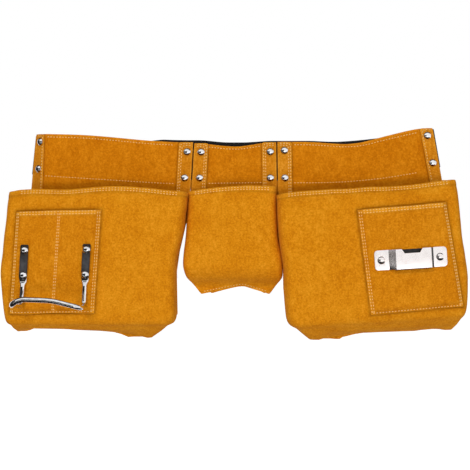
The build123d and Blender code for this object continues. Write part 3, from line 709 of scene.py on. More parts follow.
def rivet_profile(stack):
    """Domed cap with a thin rolled rim, its post, and the flat cap on the wearer's side."""
    return [
        (0.25, 2.40), (0.9, 2.37), (1.7, 2.25), (2.5, 2.02), (3.2, 1.68), (3.8, 1.27), (4.25, 0.85),
        (4.55, 0.52), (4.78, 0.34), (4.86, 0.16), (4.78, 0.0), (4.5, -0.1), (1.6, -0.1),
        (1.6, -stack + 0.05), (3.9, -stack + 0.05), (4.15, -stack - 0.1), (4.15, -stack - 0.7),
        (3.8, -stack - 1.1), (2.6, -stack - 1.2), (2.2, -stack - 0.95), (0.3, -stack - 0.9),
    ]


def rivets(node, body, look, groups):
    """All rivets of one CAD node as one mesh: groups are (places, stack)."""
    points = []
    faces = []
    for places, stack in groups:
        some, sides = lathe(places, rivet_profile(stack))
        faces += [tuple(i + len(points) for i in face) for face in sides]
        points += some
    piece = add_mesh(node, points, faces, look, body)
    piece.data.set_sharp_from_angle(angle=math.radians(50))


def facing_out(points, y):
    """Places for the lathe on a flat front at y."""
    return [((x, y, z), (0, -1, 0), (1, 0, 0)) for x, z in points]


def turned_out(points):
    """Places for the lathe on the outer strip that is turned back at the left hip."""
    outward = (-math.sin(TURN_ANGLE), -math.cos(TURN_ANGLE), 0)
    return [((x, float(turned_y(x, STRIP_FRONT)), z), outward, (0, 0, 1)) for x, z in points]


def sweep(node, path, size_x, size_y, first_side, look, body):
    """Tube along points whose section goes from flat to round: half sizes along and across the side."""
    sides = 28
    path = np.array(path, float)
    tangent = np.gradient(path, axis=0)
    tangent /= np.linalg.norm(tangent, axis=1, keepdims=True)
    side = np.array(first_side, float)
    frames = []
    for t in tangent:
        side = side - t * np.dot(side, t)
        side /= np.linalg.norm(side)
        frames.append(side.copy())
    end_side = np.array(first_side, float)
    end_side -= tangent[-1] * np.dot(end_side, tangent[-1])
    end_side /= np.linalg.norm(end_side)
    normal = np.cross(tangent[-1], frames[-1])
    twist = math.atan2(np.dot(end_side, normal), np.dot(end_side, frames[-1]))
    if abs(twist) > math.pi / 2:
        twist -= math.copysign(math.pi, twist)
    share = smooth(np.linspace(0, 1, len(path)), 0.3, 0.7)
    points = []
    for i, centre in enumerate(path):
        other = np.cross(tangent[i], frames[i])
        turn = twist * share[i]
        a = math.cos(turn) * frames[i] + math.sin(turn) * other
        b = np.cross(tangent[i], a)
        for k in range(sides):
            angle = 2 * math.pi * (k + 0.5) / sides
            c, s = math.cos(angle), math.sin(angle)
            points.append(centre + a * size_x[i] * math.copysign(abs(c) ** 0.8, c)
                          + b * size_y[i] * math.copysign(abs(s) ** 0.8, s))
    faces = []
    for i in range(len(path) - 1):
        for k in range(sides):
            p, q = i * sides + k, i * sides + (k + 1) % sides
            faces.append((p, q, q + sides, p + sides))
    faces.append(tuple(reversed(range(sides))))
    faces.append(tuple(range((len(path) - 1) * sides, len(path) * sides)))
    add_mesh(node, points, faces, look, body)


def rounded_path(points, radii, step=0.8):
    """Polyline in space with its corners turned into arcs; radii belong to the inner points."""
    points = [np.array(p, float) for p in points]
    out = [points[0]]
    for i in range(1, len(points) - 1):
        a, b, c = points[i - 1], points[i], points[i + 1]
        to_a = (a - b) / np.linalg.norm(a - b)
        to_c = (c - b) / np.linalg.norm(c - b)
        half = math.acos(np.clip(np.dot(to_a, to_c), -1, 1)) / 2
        reach = radii[i - 1] / math.tan(half)
        centre = b + (to_a + to_c) / np.linalg.norm(to_a + to_c) * radii[i - 1] / math.sin(half)
        start, end = b + to_a * reach, b + to_c * reach
        count = max(3, int(radii[i - 1] * (math.pi - 2 * half) / step))
        for t in np.linspace(0, 1, count + 1):
            spoke = (start - centre) * (1 - t) + (end - centre) * t
            out.append(centre + spoke / np.linalg.norm(spoke) * radii[i - 1])
    out.append(points[-1])
    dense = [out[0]]
    for a, b in zip(out[:-1], out[1:]):
        gap = np.linalg.norm(b - a)
        if gap < 1e-6:
            continue
        for t in np.linspace(0, 1, max(1, int(gap / (2 * step))) + 1)[1:]:
            dense.append(a + (b - a) * t)
    return np.array(dense)


# ---- belt surfaces ----


def belt_wave(x, z, seed):
    """Small unevenness shared by the layers of one panel."""
    return 0.35 * rumple(x, z, 38.0, seed) + 0.14 * rumple(x, z, 13.0, seed + 1)


def left_layer(depth, places=()):
    """Layer of the left panel, which is smooth where it turns back."""
    def at(x, z):
        flat = smooth(x, -236.0, -226.0)
        return turned_y(x, depth) + belt_wave(x, z, 11) * flat + dimples(x, z, places)
    return at


def flat_layer(depth, seed, places=()):
    """Layer of the centre or right panel."""
    return lambda x, z: depth + belt_wave(x, z, seed) + dimples(x, z, places)


def edge_strip(sewing, node, away, near, low, high, depth, body, places, insets=STRIP_INSETS):
    """Edge strip with rounded corners between two steep lines, near being the one at the gap or the
    belt's end. It is sewn up the side away from that and over the top."""
    left, right = sorted((away, near))
    top, foot = 3.0, 1.5

    def cut(z):
        up = np.clip(z - (high - top), 0, top)
        down = np.clip((low + foot) - z, 0, foot)
        return (top - np.sqrt(top**2 - up**2)) + (foot - np.sqrt(foot**2 - down**2))

    # Painted shade in the dimples round the rivets.
    def dark(x, z):
        return 0.55 * np.clip(dimples(x, z, places, 1.0, 5.6), 0, 1)

    panel(node, lambda z: on_line(left, z) + cut(z), lambda z: on_line(right, z) - cut(z),
          lambda x: low + 0 * x, lambda x: high + 0 * x, depth, "suede_strip", body, step=1.2, painted_shade=dark)
    step = 1 if right == near else -1
    for inset in insets:
        bend = inset + 1.6
        path = [(on_line(away, low) + step * inset, low + 2),
                (on_line(away, high - bend) + step * inset, high - bend),
                (on_line(away, high) + step * bend, high - inset),
                (on_line(near, high) - step * 2.5, high - inset)]
        sewing.row(node, path, skip=places)


# ---- bags ----


def section_table(sections):
    """Smoothly interpolated sections from the seam (first) to the mouth (last)."""
    rows = [(*left, *right, depth) for left, right, depth in reversed(sections)]
    line = spline(rows, 30)
    run = run_along(line[:, :4])
    run /= run[-1]
    share = np.linspace(0, 1, 160)
    return np.stack([np.interp(share, run, line[:, k]) for k in range(5)], axis=1)


def bezier(t, a, b, c, d):
    return (1 - t) ** 3 * a + 3 * (1 - t) ** 2 * t * b + 3 * (1 - t) * t**2 * c + t**3 * d


def bag_front(node, sections, body, wave, mouth, hem_line, seed, crown=1.2, shaded_outline=None):
    """Front, sides and bottom of a bag in one curved skin, open at the mouth and the back. Gives the
    mouth's line as (xs, zs)."""
    table = section_table(sections)
    height = float(np.mean(table[-1, [1, 3]]) - np.mean(table[0, [1, 3]]))
    width = float(table[-1, 2] - table[-1, 0])
    v = spaced(height * 1.08, 2.0)
    at = np.stack([np.interp(v, np.linspace(0, 1, len(table)), table[:, k]) for k in range(5)], axis=1)
    left = at[:, 0:2][:, None, :]
    right = at[:, 2:4][:, None, :]
    depth = at[:, 4][:, None]
    long = np.linalg.norm(right - left, axis=2, keepdims=True)
    unit = (right - left) / long
    w = long[:, :, 0]
    half = LEATHER / 2
    shoulder = np.minimum(SHOULDER, 0.3 * depth + 2)
    deep = np.maximum(depth - WEB - half, 0.4)
    swell = np.minimum(1, deep / 20)
    t = np.concatenate([[0.0, 0.02, 0.06], np.linspace(0.12, 1.0, 14)])[None, :]
    off_side = bezier(t, 3.2, half - 2.0 * swell, half - 1.6 * swell, shoulder)
    y_side = bezier(t, -WEB - half, -WEB - half - 0.35 * deep, half - depth, half - depth)
    b = np.linspace(0, 1, int(width / 2.2))[1:-1][None, :]
    off_front = shoulder + b * (w - 2 * shoulder)
    y_front = half - depth - crown * (1 - (2 * b - 1) ** 2) ** 2 * smooth(depth, 12.0, 40.0)
    off = np.concatenate([off_side, off_front, w - off_side[:, ::-1]], axis=1)
    y = np.concatenate([y_side, y_front, y_side[:, ::-1]], axis=1)
    x = left[:, :, 0] + unit[:, :, 0] * off
    z = left[:, :, 1] + unit[:, :, 1] * off
    round_side = t**2 * np.ones_like(depth)
    frontness = np.concatenate([round_side, np.ones_like(off_front), round_side[:, ::-1]], axis=1)
    from_mouth = (1 - v)[:, None] * height
    from_seam = v[:, None] * height
    up = 1 - smooth(from_mouth, 0.0, MOUTH_WAVES)
    z = z + mouth(x) * up
    z = z + (level_edge(hem_line)(x[0]) - z[0])[None, :] * (1 - smooth(from_seam, 0.0, SEAM_WAVES))
    inner = smooth(from_seam, 2.0, 14.0)
    y = y + frontness * inner * (bag_wave(x, z, seed) + wave(x, z) * up)
    x = x + (1 - frontness) * inner * 0.8 * rumple(y, z, 24.0, seed + 5) * np.sign(x - np.mean(x))
    raised = np.ones_like(x) * 0.75 * (1 - smooth(from_mouth, HEM_TURN, HEM_TURN + 0.8))
    # Painted shade: a dark line just below the turned hem, and a painted shadow round a sewn-on patch's
    # outline.
    painted_shade = 0.35 * hump(from_mouth - HEM_TURN - 0.6, 1.0) * np.ones_like(x)
    if shaded_outline is not None:
        painted_shade = np.maximum(painted_shade, 0.9 * np.exp(-outline_distance(x, z, shaded_outline) / 1.5))
    skin(node, np.stack([x, y, z], axis=2), LEATHER, "suede_bag", body, raised=raised, painted_shade=painted_shade,
         pale=0.3 * raised)
    return x[-1], z[-1]


def mouth_wave(high, long, seed):
    """Waves of a bag's front at its mouth."""
    return lambda x, z: high * rumple(x, 0 * z, long, seed)


def outline_distance(x, z, corners):
    """Distance from each point (x, z) to the outline of a patch."""
    nearest = np.full_like(x, 1e3)
    for (ax, az), (bx, bz) in zip(corners, corners[1:] + corners[:1]):
        dx, dz = bx - ax, bz - az
        t = np.clip(((x - ax) * dx + (z - az) * dz) / (dx * dx + dz * dz), 0, 1)
        nearest = np.minimum(nearest, np.hypot(x - ax - t * dx, z - az - t * dz))
    return nearest


def bag_wave(x, z, seed):
    """Large and small unevenness of a bag's front."""
    large = 1.0 * rumple(x, z, 62.0, seed)
    return large + 0.45 * rumple(x, z * 0.6, 24.0, seed + 1) + 0.12 * rumple(x, z, 9.0, seed + 2)


def mouth_rows(sewing, node, mouth, x_from, x_to, insets):
    """Stitching of the hem along a bag's mouth."""
    xs = np.arange(x_from, x_to, 2.0)
    for inset in insets:
        sewing.row(node, list(zip(xs, np.interp(xs, *mouth) - inset)))


def back_sheet(node, left, right, low, high, body):
    """Back of a bag, in the layer of the webbing."""
    def depth(x, z):
        return -WEB / 2 + 0.25 * rumple(x, z, 45.0, 71)

    panel(node, left, right, low, high, depth, "suede_bag", body, thickness=WEB, step=3.0)


def side_edge(points):
    """x as a function of z through straight runs between points (x, z)."""
    points = sorted(points, key=lambda p: p[1])
    zs = [p[1] for p in points]
    xs = [p[0] for p in points]
    return lambda z: np.interp(z, zs, xs)


def level_edge(points):
    """z as a function of x through straight runs between points (x, z)."""
    points = sorted(points)
    return lambda x: np.interp(x, [p[0] for p in points], [p[1] for p in points])


def patch(node, corners, seed, body, divider=None):
    """Pocket sewn on the front of a bag: flat along its sewn sides, standing off between them."""
    top_left, top_right, low_right, low_left = [np.array(c) for c in corners]
    width = float(np.linalg.norm(top_right - top_left))
    height = float(np.linalg.norm(top_left - low_left))
    hem, side_run, foot_run = 5.6, 8.5, 9.0
    u, v = uv_grid(width, height, 1.6)
    x = (low_left[0] * (1 - u) + low_right[0] * u) * (1 - v) + (top_left[0] * (1 - u) + top_right[0] * u) * v
    z = (low_left[1] * (1 - u) + low_right[1] * u) * (1 - v) + (top_left[1] * (1 - u) + top_right[1] * u) * v
    from_top = (1 - v) * height
    from_foot = v * height
    from_side = np.minimum(u, 1 - u) * width
    rise = smooth(u * width, 0.5, side_run) * smooth((1 - u) * width, 0.5, side_run)
    rise = rise * smooth(from_foot, 0.5, foot_run)
    pale = 0.8 * np.maximum(1 - smooth(from_top, hem, hem + 1.0), 0.6 * (1 - smooth(from_side, 3.5, 6.0)))
    if divider:
        middle = divider[0] + (divider[1] - divider[0]) * v
        rise = rise * (1 - 0.45 * hump(x - middle, 3.2))
        pale = np.maximum(pale, 0.4 * hump(x - middle, 2.4))
    base = -BAG_DEPTH - LEATHER / 2 - 1.2
    top = POCKET_FRONT + LEATHER / 2
    y = base + (top - base) * rise + 0.3 * rumple(x, z, 30.0, seed) + 0.12 * rumple(x, z, 10.0, seed + 1)
    z = z + 0.7 * rumple(x, 0 * x, 26.0, seed + 2) * (1 - smooth(from_foot, 0, 12))
    z = z + 0.5 * rumple(x, 0 * x, 31.0, seed + 3) * (1 - smooth(from_top, 0, 14))
    raised = 0.7 * (1 - smooth(from_top, hem, hem + 0.8))
    rim = np.minimum(from_side, np.minimum(from_foot, from_top))
    # Painted shade: a dark line below the hem and dark rims along the patch's edges.
    painted_shade = np.maximum(0.35 * hump(from_top - hem - 0.8, 0.9), 0.6 * (1 - smooth(rim, 0.2, 1.0)))
    skin(node, np.stack([x, y, z], axis=2), LEATHER, "suede_patch", body,
         raised=raised, painted_shade=painted_shade, pale=pale)


def corner_at(corners, u, v):
    """Point of a patch at shares across and up."""
    top_left, top_right, low_right, low_left = [np.array(c) for c in corners]
    low = low_left * (1 - u) + low_right * u
    high = top_left * (1 - u) + top_right * u
    return tuple(low * (1 - v) + high * v)


def patch_rows(sewing, node, corners, divider=None):
    """Stitching round a patch: twice up the sides and along the hem, once along the foot."""
    width = abs(corners[1][0] - corners[0][0])
    height = abs(corners[0][1] - corners[3][1])
    from_side, low, high = 2.2 / width, 2.2 / height, 1 - 2.0 / height

    def sew(u0, v0, u1, v1):
        sewing.row(node, [corner_at(corners, u0, v0), corner_at(corners, u1, v1)])

    for inset in (1.9 / width, 4.2 / width):
        sew(inset, low, inset, high)
        sew(1 - inset, low, 1 - inset, high)
    sew(from_side, 2.4 / height, 1 - from_side, 2.4 / height)
    for inset in (1.8 / height, 4.8 / height):
        sew(5.5 / width, 1 - inset, 1 - 5.5 / width, 1 - inset)
    if divider:
        top, foot = corners[0][1] - 2, corners[2][1] + 3
        for shift in (-1.1, 1.1):
            sewing.row(node, [(divider[0] + shift, top), (divider[1] + shift, foot)])


# ---- what the three units share ----


def back_edge(sections, side, low, rest):
    """Side edge of a bag's back: a hair inside the bag below low, then through the points of rest."""
    inset = 0.2 if side == 0 else -0.2
    points = [(section[side][0] + inset, section[side][1]) for section in sections if section[side][1] < low]
    return side_edge(points + rest)


def web_rise(x):
    """How far the webbing climbs along the belt towards both hips."""
    left = np.maximum(0.0, LEFT_GAP[0] - x)
    bent = np.minimum(left, 58.0)
    return bent**2 / 1800.0 + (left - bent) * 58.0 / 900.0 + np.maximum(0.0, x - 100.0) ** 2 / 1400.0


def web_lift(x):
    """The webbing rides up a little behind the panels on both sides of each gap."""
    high = np.where(x < 0, 2.8, 2.0)
    return high * smooth(np.abs(x), 8, 50) * (1 - smooth(x, 95, 138)) * (1 - smooth(-x, 92, 116))


def web_foot(x):
    return web_rise(x) + web_lift(x) - HALF_WEB


def below_web(*xs):
    """Points (x, z) a hair below the webbing, where a bag's back ends."""
    return [(x, float(web_foot(x)) - 0.5) for x in xs]


def belt_web(node, left, right, body):
    """Webbing behind a panel, between two steep lines."""
    panel(node, edge_of(left), edge_of(right), web_foot, lambda x: web_foot(x) + 2 * HALF_WEB,
          lambda x, z: turned_y(x, -WEB / 2), "black_webbing", body, thickness=WEB, step=3.0)


def mouth_shade(line, *edges):
    """Painted shade on a facing: a soft dark band just above the bag's mouth, and dark lines in the creases
    along its strips' edges.
    """
    level = level_edge(line)

    def shade(x, z):
        # Painted shade above the mouth and along the strips' edges.
        painted_dark = 0.26 * (1 - smooth(z - level(x), 3.0, 17.0))
        for edge in edges:
            painted_dark = np.maximum(painted_dark, 0.75 * np.exp(-np.abs(x - on_line(edge, z)) / 1.2))
        return painted_dark

    return shade


def cap_rivets(places):
    """Places and stack of cap rivets through strip, facing and webbing."""
    return facing_out(places, STRIP_FRONT + CAP_SINK), CAP_SINK - STRIP_FRONT


def back_rows(sewing, node, left, right, low, high):
    """Seam stitching down both sides of a bag's back."""
    zs = np.arange(low, high, 3.0)
    sewing.row(node, [(float(left(z)) + 3.0, z) for z in zs], toward=-1)
    sewing.row(node, [(float(right(z)) - 3.0, z) for z in zs], toward=-1)


# ---- the three units ----


def make_center():
    body = "center_unit"
    sewing = Thread()
    make_center_belt(sewing, body)
    make_center_pouch(sewing, body)
    sewing.make("center_stitching", body)


def make_center_belt(sewing, body):
    """Facing, two edge strips, cap rivets and webbing of the centre panel."""
    left = shifted(LEFT_GAP, HALF_GAP)
    right = shifted(RIGHT_GAP, -HALF_GAP)
    left_fold = shifted(left, STRIP_WIDTH)
    right_fold = shifted(right, -STRIP_WIDTH)
    top = curve([(on_line(left, 24.2), 24.2), (-38, 23.3), (-26, 21.8), (-12, 20.4), (4.3, 20.0), (18, 21.6),
                 (36, 24.4), (on_line(right, 25.4), 25.4)])
    low = level_edge([(-60, -41), (-50, -46), (45, -46), (54, -37)])
    shade = mouth_shade([(-60, -36), (0, -33), (54, -34)], left_fold, right_fold)
    panel("center_facing", edge_of(left), edge_of(right), low, top, flat_layer(FACING_MIDDLE, 21),
          "suede_panel", body, painted_shade=shade)
    over = flat_layer(STRIP_MIDDLE, 21, CENTRE_RIVETS)
    edge_strip(sewing, "center_strip_left", left_fold, left, -40.5, 24.0, over, body, CENTRE_RIVETS)
    edge_strip(sewing, "center_strip_right", right_fold, right, -35.5, 25.2, over, body, CENTRE_RIVETS)
    rivets("center_rivets", body, "rivet_chrome", [cap_rivets(CENTRE_RIVETS)])
    belt_web("web_belt_center", left, right, body)
    xs = np.arange(-35, 35, 2.0)
    sewing.row("center_facing", list(zip(xs, top(xs) - 3.6)))
    sewing.row("center_facing", [(-35, -28.0), (35, -27.0)])


def make_center_pouch(sewing, body):
    hem = level_edge(CENTRE_HEM)
    lip = curve([(-62, 0.0), (-50, 0.8), (-30, 2.6), (-5, 3.6), (20, 3.2), (40, 1.4), (55, 0.0)])
    mouth = bag_front("center_pouch_front", CENTRE_POUCH, body, mouth_wave(0.8, 30.0, 51), lip, CENTRE_HEM,
                      seed=41, crown=0.8)
    back_left = back_edge(CENTRE_POUCH, 0, -50, [(-59.1, -46), (-57.8, -43.5), (-57.5, -26)])
    back_right = back_edge(CENTRE_POUCH, 1, -50, [(52.2, -45), (53.0, -40), (53.0, -26)])
    back_sheet("center_pouch_back", back_left, back_right, lambda x: hem(x) + 0.8,
               lambda x: web_lift(x) - HALF_WEB - 0.5, body)
    mouth_rows(sewing, "center_pouch_front", mouth, -52, 46, (2.2, 4.8))
    xs = np.linspace(-41, 41, 50)
    sewing.row("center_pouch_front", list(zip(xs, hem(xs) + 3.0)))
    sewing.row("center_pouch_back", list(zip(xs, hem(xs) + 3.0)), toward=-1)
    back_rows(sewing, "center_pouch_back", back_left, back_right, -146, -40)


def make_left():
    body = "left_unit"
    sewing = Thread()
    make_left_belt(sewing, body)
    make_left_bag(sewing, body)
    patch("hammer_pocket", HAMMER_POCKET, 81, body, HAMMER_DIVIDER)
    patch_rows(sewing, "hammer_pocket", HAMMER_POCKET, HAMMER_DIVIDER[::-1])
    sewing.make("left_stitching", body)
    make_hammer_loop(body)


def make_left_belt(sewing, body):
    """Facing, two edge strips, cap rivets and webbing of the left panel."""
    near = shifted(LEFT_GAP, -HALF_GAP)
    fold = shifted(near, -STRIP_WIDTH)
    top = curve([(on_line(LEFT_END, 36.9), 36.9), (-247, 36.2), (-204, 35.0), (-169, 32.6), (-122, 28.2),
                 (-100, 26.6), (-75, 25.4), (on_line(near, 25.6), 25.6)])
    low = level_edge([(-270, -37.6), (-250, -37.6), (-238, -45), (-68, -47), (-55, -46)])
    shade = mouth_shade([(-290, -38), (-200, -37), (-150, -34), (-60, -40)], fold, LEFT_OUTER_FOLD)
    panel("left_facing", edge_of(LEFT_END), edge_of(near), low, top, left_layer(FACING_MIDDLE), "suede_panel",
          body, painted_shade=shade)
    over = left_layer(STRIP_MIDDLE, LEFT_INNER_RIVETS)
    edge_strip(sewing, "left_inner_strip", fold, near, -46.0, 25.3, over, body, LEFT_INNER_RIVETS)
    over = left_layer(STRIP_MIDDLE, LEFT_OUTER_RIVETS)
    edge_strip(sewing, "left_outer_strip", LEFT_OUTER_FOLD, LEFT_END, -37.6, 36.0, over, body,
               LEFT_OUTER_RIVETS, STRIP_INSETS[:1])
    rivets("left_rivets", body, "rivet_chrome",
           [cap_rivets(LEFT_INNER_RIVETS), (turned_out(LEFT_OUTER_RIVETS), -STRIP_FRONT)])
    belt_web("web_belt_left", LEFT_END, near, body)
    xs = np.arange(-244, -78, 2.0)
    sewing.row("left_facing", list(zip(xs, top(xs) - 3.8)))
    xs = np.arange(-247, -78, 2.0)
    sewing.row("left_facing", list(zip(xs, web_rise(xs) - HALF_WEB - 3.2)))


def make_left_bag(sewing, body):
    lip = curve([(-300, -1.0), (-281, -0.4), (-270, 1.6), (-250, 2.9), (-230, 2.8), (-210, 3.0), (-190, 5.0),
                 (-170, 7.1), (-150, 8.3), (-130, 7.9), (-110, 6.9), (-90, 5.0), (-70, 3.6), (-58, 2.6)])
    mouth = bag_front("left_bag_front", LEFT_BAG, body, mouth_wave(1.6, 46.0, 33), lip, LEFT_HEM, seed=61,
                      shaded_outline=HAMMER_POCKET)
    back_left = back_edge(LEFT_BAG, 0, -30, [(-286, -38.4)])
    back_right = back_edge(LEFT_BAG, 1, -84, [(-64, -82), (-61.5, -76), (-59.9, -58), (-59.3, -46),
                                              (-58.3, -43.5), (-58.1, -26)])
    base = level_edge(LEFT_HEM)
    tops = level_edge([(-290, -38.6), (-240, -38.4)] + below_web(-237, -180, -115, -100, -85, -70, -57))
    back_sheet("left_bag_back", back_left, back_right, base, tops, body)
    mouth_rows(sewing, "left_bag_front", mouth, -270, -70, (2.2, 4.9))
    xs = np.arange(-272, -108, 2.0)
    sewing.row("left_bag_back", list(zip(xs, base(xs) + 3.2)), toward=-1)
    back_rows(sewing, "left_bag_back", back_left, back_right, -196, -44)


def make_right():
    body = "right_unit"
    sewing = Thread()
    make_right_belt(sewing, body)
    make_right_bag(sewing, body)
    patch("tape_pocket", TAPE_POCKET, 91, body)
    patch_rows(sewing, "tape_pocket", TAPE_POCKET)
    sewing.make("right_stitching", body)
    make_tape_clip(body)


def make_right_belt(sewing, body):
    """Facing, two edge strips, cap rivets and webbing of the right panel."""
    near = shifted(RIGHT_GAP, HALF_GAP)
    fold = shifted(near, STRIP_WIDTH)
    top = curve([(on_line(near, 26.0), 26.0), (74, 26.0), (103, 25.5), (141, 23.2), (165, 25.0),
                 (188.5, 30.6), (207.6, 35.2), (238, 41.8), (on_line(RIGHT_END, 43.8), 43.8)])
    low = level_edge([(54, -47), (66, -50), (256, -35), (262, -27), (270, -26)])
    shade = mouth_shade([(54, -42), (280, -25)], fold, RIGHT_OUTER_FOLD)
    panel("right_facing", edge_of(near), edge_of(RIGHT_END), low, top, flat_layer(FACING_MIDDLE, 25),
          "suede_panel", body, painted_shade=shade)
    over = flat_layer(STRIP_MIDDLE, 25, RIGHT_RIVETS)
    edge_strip(sewing, "right_inner_strip", fold, near, -47.0, 25.8, over, body, RIGHT_RIVETS)
    edge_strip(sewing, "right_outer_strip", RIGHT_OUTER_FOLD, RIGHT_END, -26.5, 43.4, over, body,
               RIGHT_RIVETS, STRIP_INSETS[:1])
    rivets("right_rivets", body, "rivet_chrome", [cap_rivets(RIGHT_RIVETS)])
    belt_web("web_belt_right", near, shifted(RIGHT_END, -1.5), body)
    xs = np.arange(76, 238, 2.0)
    sewing.row("right_facing", list(zip(xs, top(xs) - 3.8)))
    sewing.row("right_facing", list(zip(xs, web_rise(xs) - HALF_WEB - 1.8)))


def make_right_bag(sewing, body):
    lip = curve([(50, 0.6), (77, 2.0), (107, 1.4), (125, 1.2), (140, 0.2), (168, 0.0), (188, -1.4),
                 (208, -1.9), (228, -1.8), (248, -0.8), (268, 0.0), (290, 0.0)])
    mouth = bag_front("right_bag_front", RIGHT_BAG, body, mouth_wave(1.2, 52.0, 35), lip, RIGHT_HEM, seed=65,
                      shaded_outline=TAPE_POCKET)
    back_left = back_edge(RIGHT_BAG, 0, -130, [(58.7, -118), (54.5, -96), (52.6, -58), (52.5, -39),
                                               (54.1, -36), (54.1, -26)])
    back_right = back_edge(RIGHT_BAG, 1, -20, [(280, -23)])
    base = level_edge(RIGHT_HEM)
    tops = level_edge(below_web(54, 70, 85, 100, 120, 140, 180, 220, 258) + [(266, -23.5), (285, -23.5)])
    back_sheet("right_bag_back", back_left, back_right, base, tops, body)
    mouth_rows(sewing, "right_bag_front", mouth, 66, 270, (1.8, 4.6))
    xs = np.arange(102, 272, 2.0)
    sewing.row("right_bag_back", list(zip(xs, base(xs) + 3.2)), toward=-1)
    back_rows(sewing, "right_bag_back", back_left, back_right, -186, -48)


# ---- tape clip ----


def on_clip(across, up):
    """Point (x, z) from the clip's own tilted directions."""
    x = CLIP_CENTRE[0] + across * math.cos(CLIP_TILT) - up * math.sin(CLIP_TILT)
    z = CLIP_CENTRE[1] + across * math.sin(CLIP_TILT) + up * math.cos(CLIP_TILT)
    return x, z


def make_tape_clip(body):
    softened("tape_clip", "clip_steel", body, 0.35)
    # Black sheet on the leather behind the bridge, a painted shadow that shows through the notch and as a
    # dark line below the bridge.
    wide, high = 44.5, 25.5
    u, v = uv_grid(wide, high, 1.5)
    clip_sheet("tape_clip_shadow_sheet", (u - 0.5) * wide + 2.25, 0.35, (v - 0.5) * high - 0.85, 0.7, body)
    # Painted shadow in the crease at the bridge's right foot, up its flank and out on the flange.
    top, foot, wide, high = 24.7, 27.8, 3.6, 24.6
    u, v = uv_grid(wide, high, 0.6)
    across = top + wide * u
    low = CLIP_PLATE + 0.1
    out = np.interp(across, [top, foot, top + wide], [CLIP_BRIDGE - 0.4, low, low])
    clip_sheet("tape_clip_shadow_line", across, out, (v - 0.5) * high, 0.12, body)
    spots = [on_clip(-CLIP_RIVET_OFFSET, 0), on_clip(CLIP_RIVET_OFFSET, 0)]
    rivets("tape_clip_rivets", body, "clip_steel", [(facing_out(spots, POCKET_FRONT - CLIP_PLATE), 3.3)])


def clip_sheet(name, across, out, up, thickness, body):
    """Dark sheet of painted shadow given in the clip's own directions, out being the distance from the
    pocket.
    """
    x, z = on_clip(across, up)
    grid = np.stack([x, POCKET_FRONT - out + 0 * x, z], axis=2)
    skin(name, grid, thickness, "black_leather", body, rub_and_sheen=np.zeros_like(x))


# ---- hammer loop ----


def make_hammer_loop(body):
    wire_y = POCKET_FRONT - 3.0
    flat_y = POCKET_FRONT - 1.0
    front_y = POCKET_FRONT - HAMMER_REACH
    points = []
    for top, foot, leg in (HAMMER_LEFT, HAMMER_RIGHT):
        points.append([(top[0], flat_y, top[1] - 2.5), (foot[0], flat_y, foot[1] - 2.0),
                       (foot[0] - 0.1, wire_y, foot[1] - 8.0), (leg[0], wire_y, leg[1])])
    bar = [(x, front_y, z) for x, z in HAMMER_BAR]
    path = rounded_path(points[0] + bar + points[1][::-1], [6, 5, 7, 9, 22, 90, 9, 7, 5, 6])
    run = run_along(path)
    from_end = np.minimum(run, run[-1] - run)
    flat = 1 - smooth(from_end, 42.0, 49.0)
    tip = np.sqrt(1 - (1 - np.clip(from_end / 3.0, 0.05, 1)) ** 2)
    wide = (WIRE_RADIUS + flat * 1.5) * (1 - flat * (1 - tip))
    thick = WIRE_RADIUS - 1.9 * flat
    sweep("hammer_loop", path, wide, thick, (1, 0, 0), "loop_chrome", body)
    make_hammer_strap("hammer_strap_left", *HAMMER_LEFT[:2], body)
    make_hammer_strap("hammer_strap_right", *HAMMER_RIGHT[:2], body)
    spots = []
    for top, foot, _ in (HAMMER_LEFT, HAMMER_RIGHT):
        for part in HAMMER_RIVETS:
            spots.append((top[0] + (foot[0] - top[0]) * part, top[1] + (foot[1] - top[1]) * part))
    rivets("hammer_rivets", body, "rivet_chrome", [(facing_out(spots, TONGUE_FRONT - 1.9), 5.7)])


def make_hammer_strap(node, top, foot, body):
    """Black strap over one flattened leg of the wire, with rounded corners and a grey middle that is rubbed
    and partly a painted highlight.
    """
    length = math.dist(top, foot)
    u, v = uv_grid(HAMMER_STRAP_WIDTH, length, 0.8)
    from_foot = v * length
    from_top = (1 - v) * length
    half = HAMMER_STRAP_WIDTH / 2 - 0.8 * (1 - smooth(from_foot, 0.0, 6.0))
    corner = 1.8
    for distance in (from_foot, from_top):
        inside = np.clip(corner - distance, 0, corner)
        half = half - (corner - np.sqrt(np.maximum(corner**2 - inside**2, 0)))
    x = foot[0] + (top[0] - foot[0]) * v + (u * 2 - 1) * half
    z = foot[1] + (top[1] - foot[1]) * v
    y = TONGUE_FRONT - 0.8 - 0.35 * (1 - (2 * u - 1) ** 2) + 0 * z
    # Rubbed middle along the crest, also a painted highlight of the strap's sheen.
    rub_and_sheen = hump(from_foot - length * 0.45, 11) * (1 - (2 * u - 1) ** 4)
    skin(node, np.stack([x, y, z], axis=2), HAMMER_STRAP_THICK, "black_leather", body, rub_and_sheen=rub_and_sheen)


# ---- webbing at the gaps and folds, straps and buckle ----


def make_gap(node, line):
    """Short bridge of webbing between two panels."""
    reach = HALF_GAP + 0.6
    lap = 0.45
    u, v = uv_grid(2 * reach, 2 * HALF_WEB, 1.0)
    z = -HALF_WEB - lap + (2 * HALF_WEB + lap) * v + web_lift(line[0])
    x = line[0] + line[1] * z + (2 * u - 1) * reach
    piece = skin(node, np.stack([x, -WEB / 2 + 0 * x, z], axis=2), WEB + 0.08, "black_webbing", None)
    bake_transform(piece)


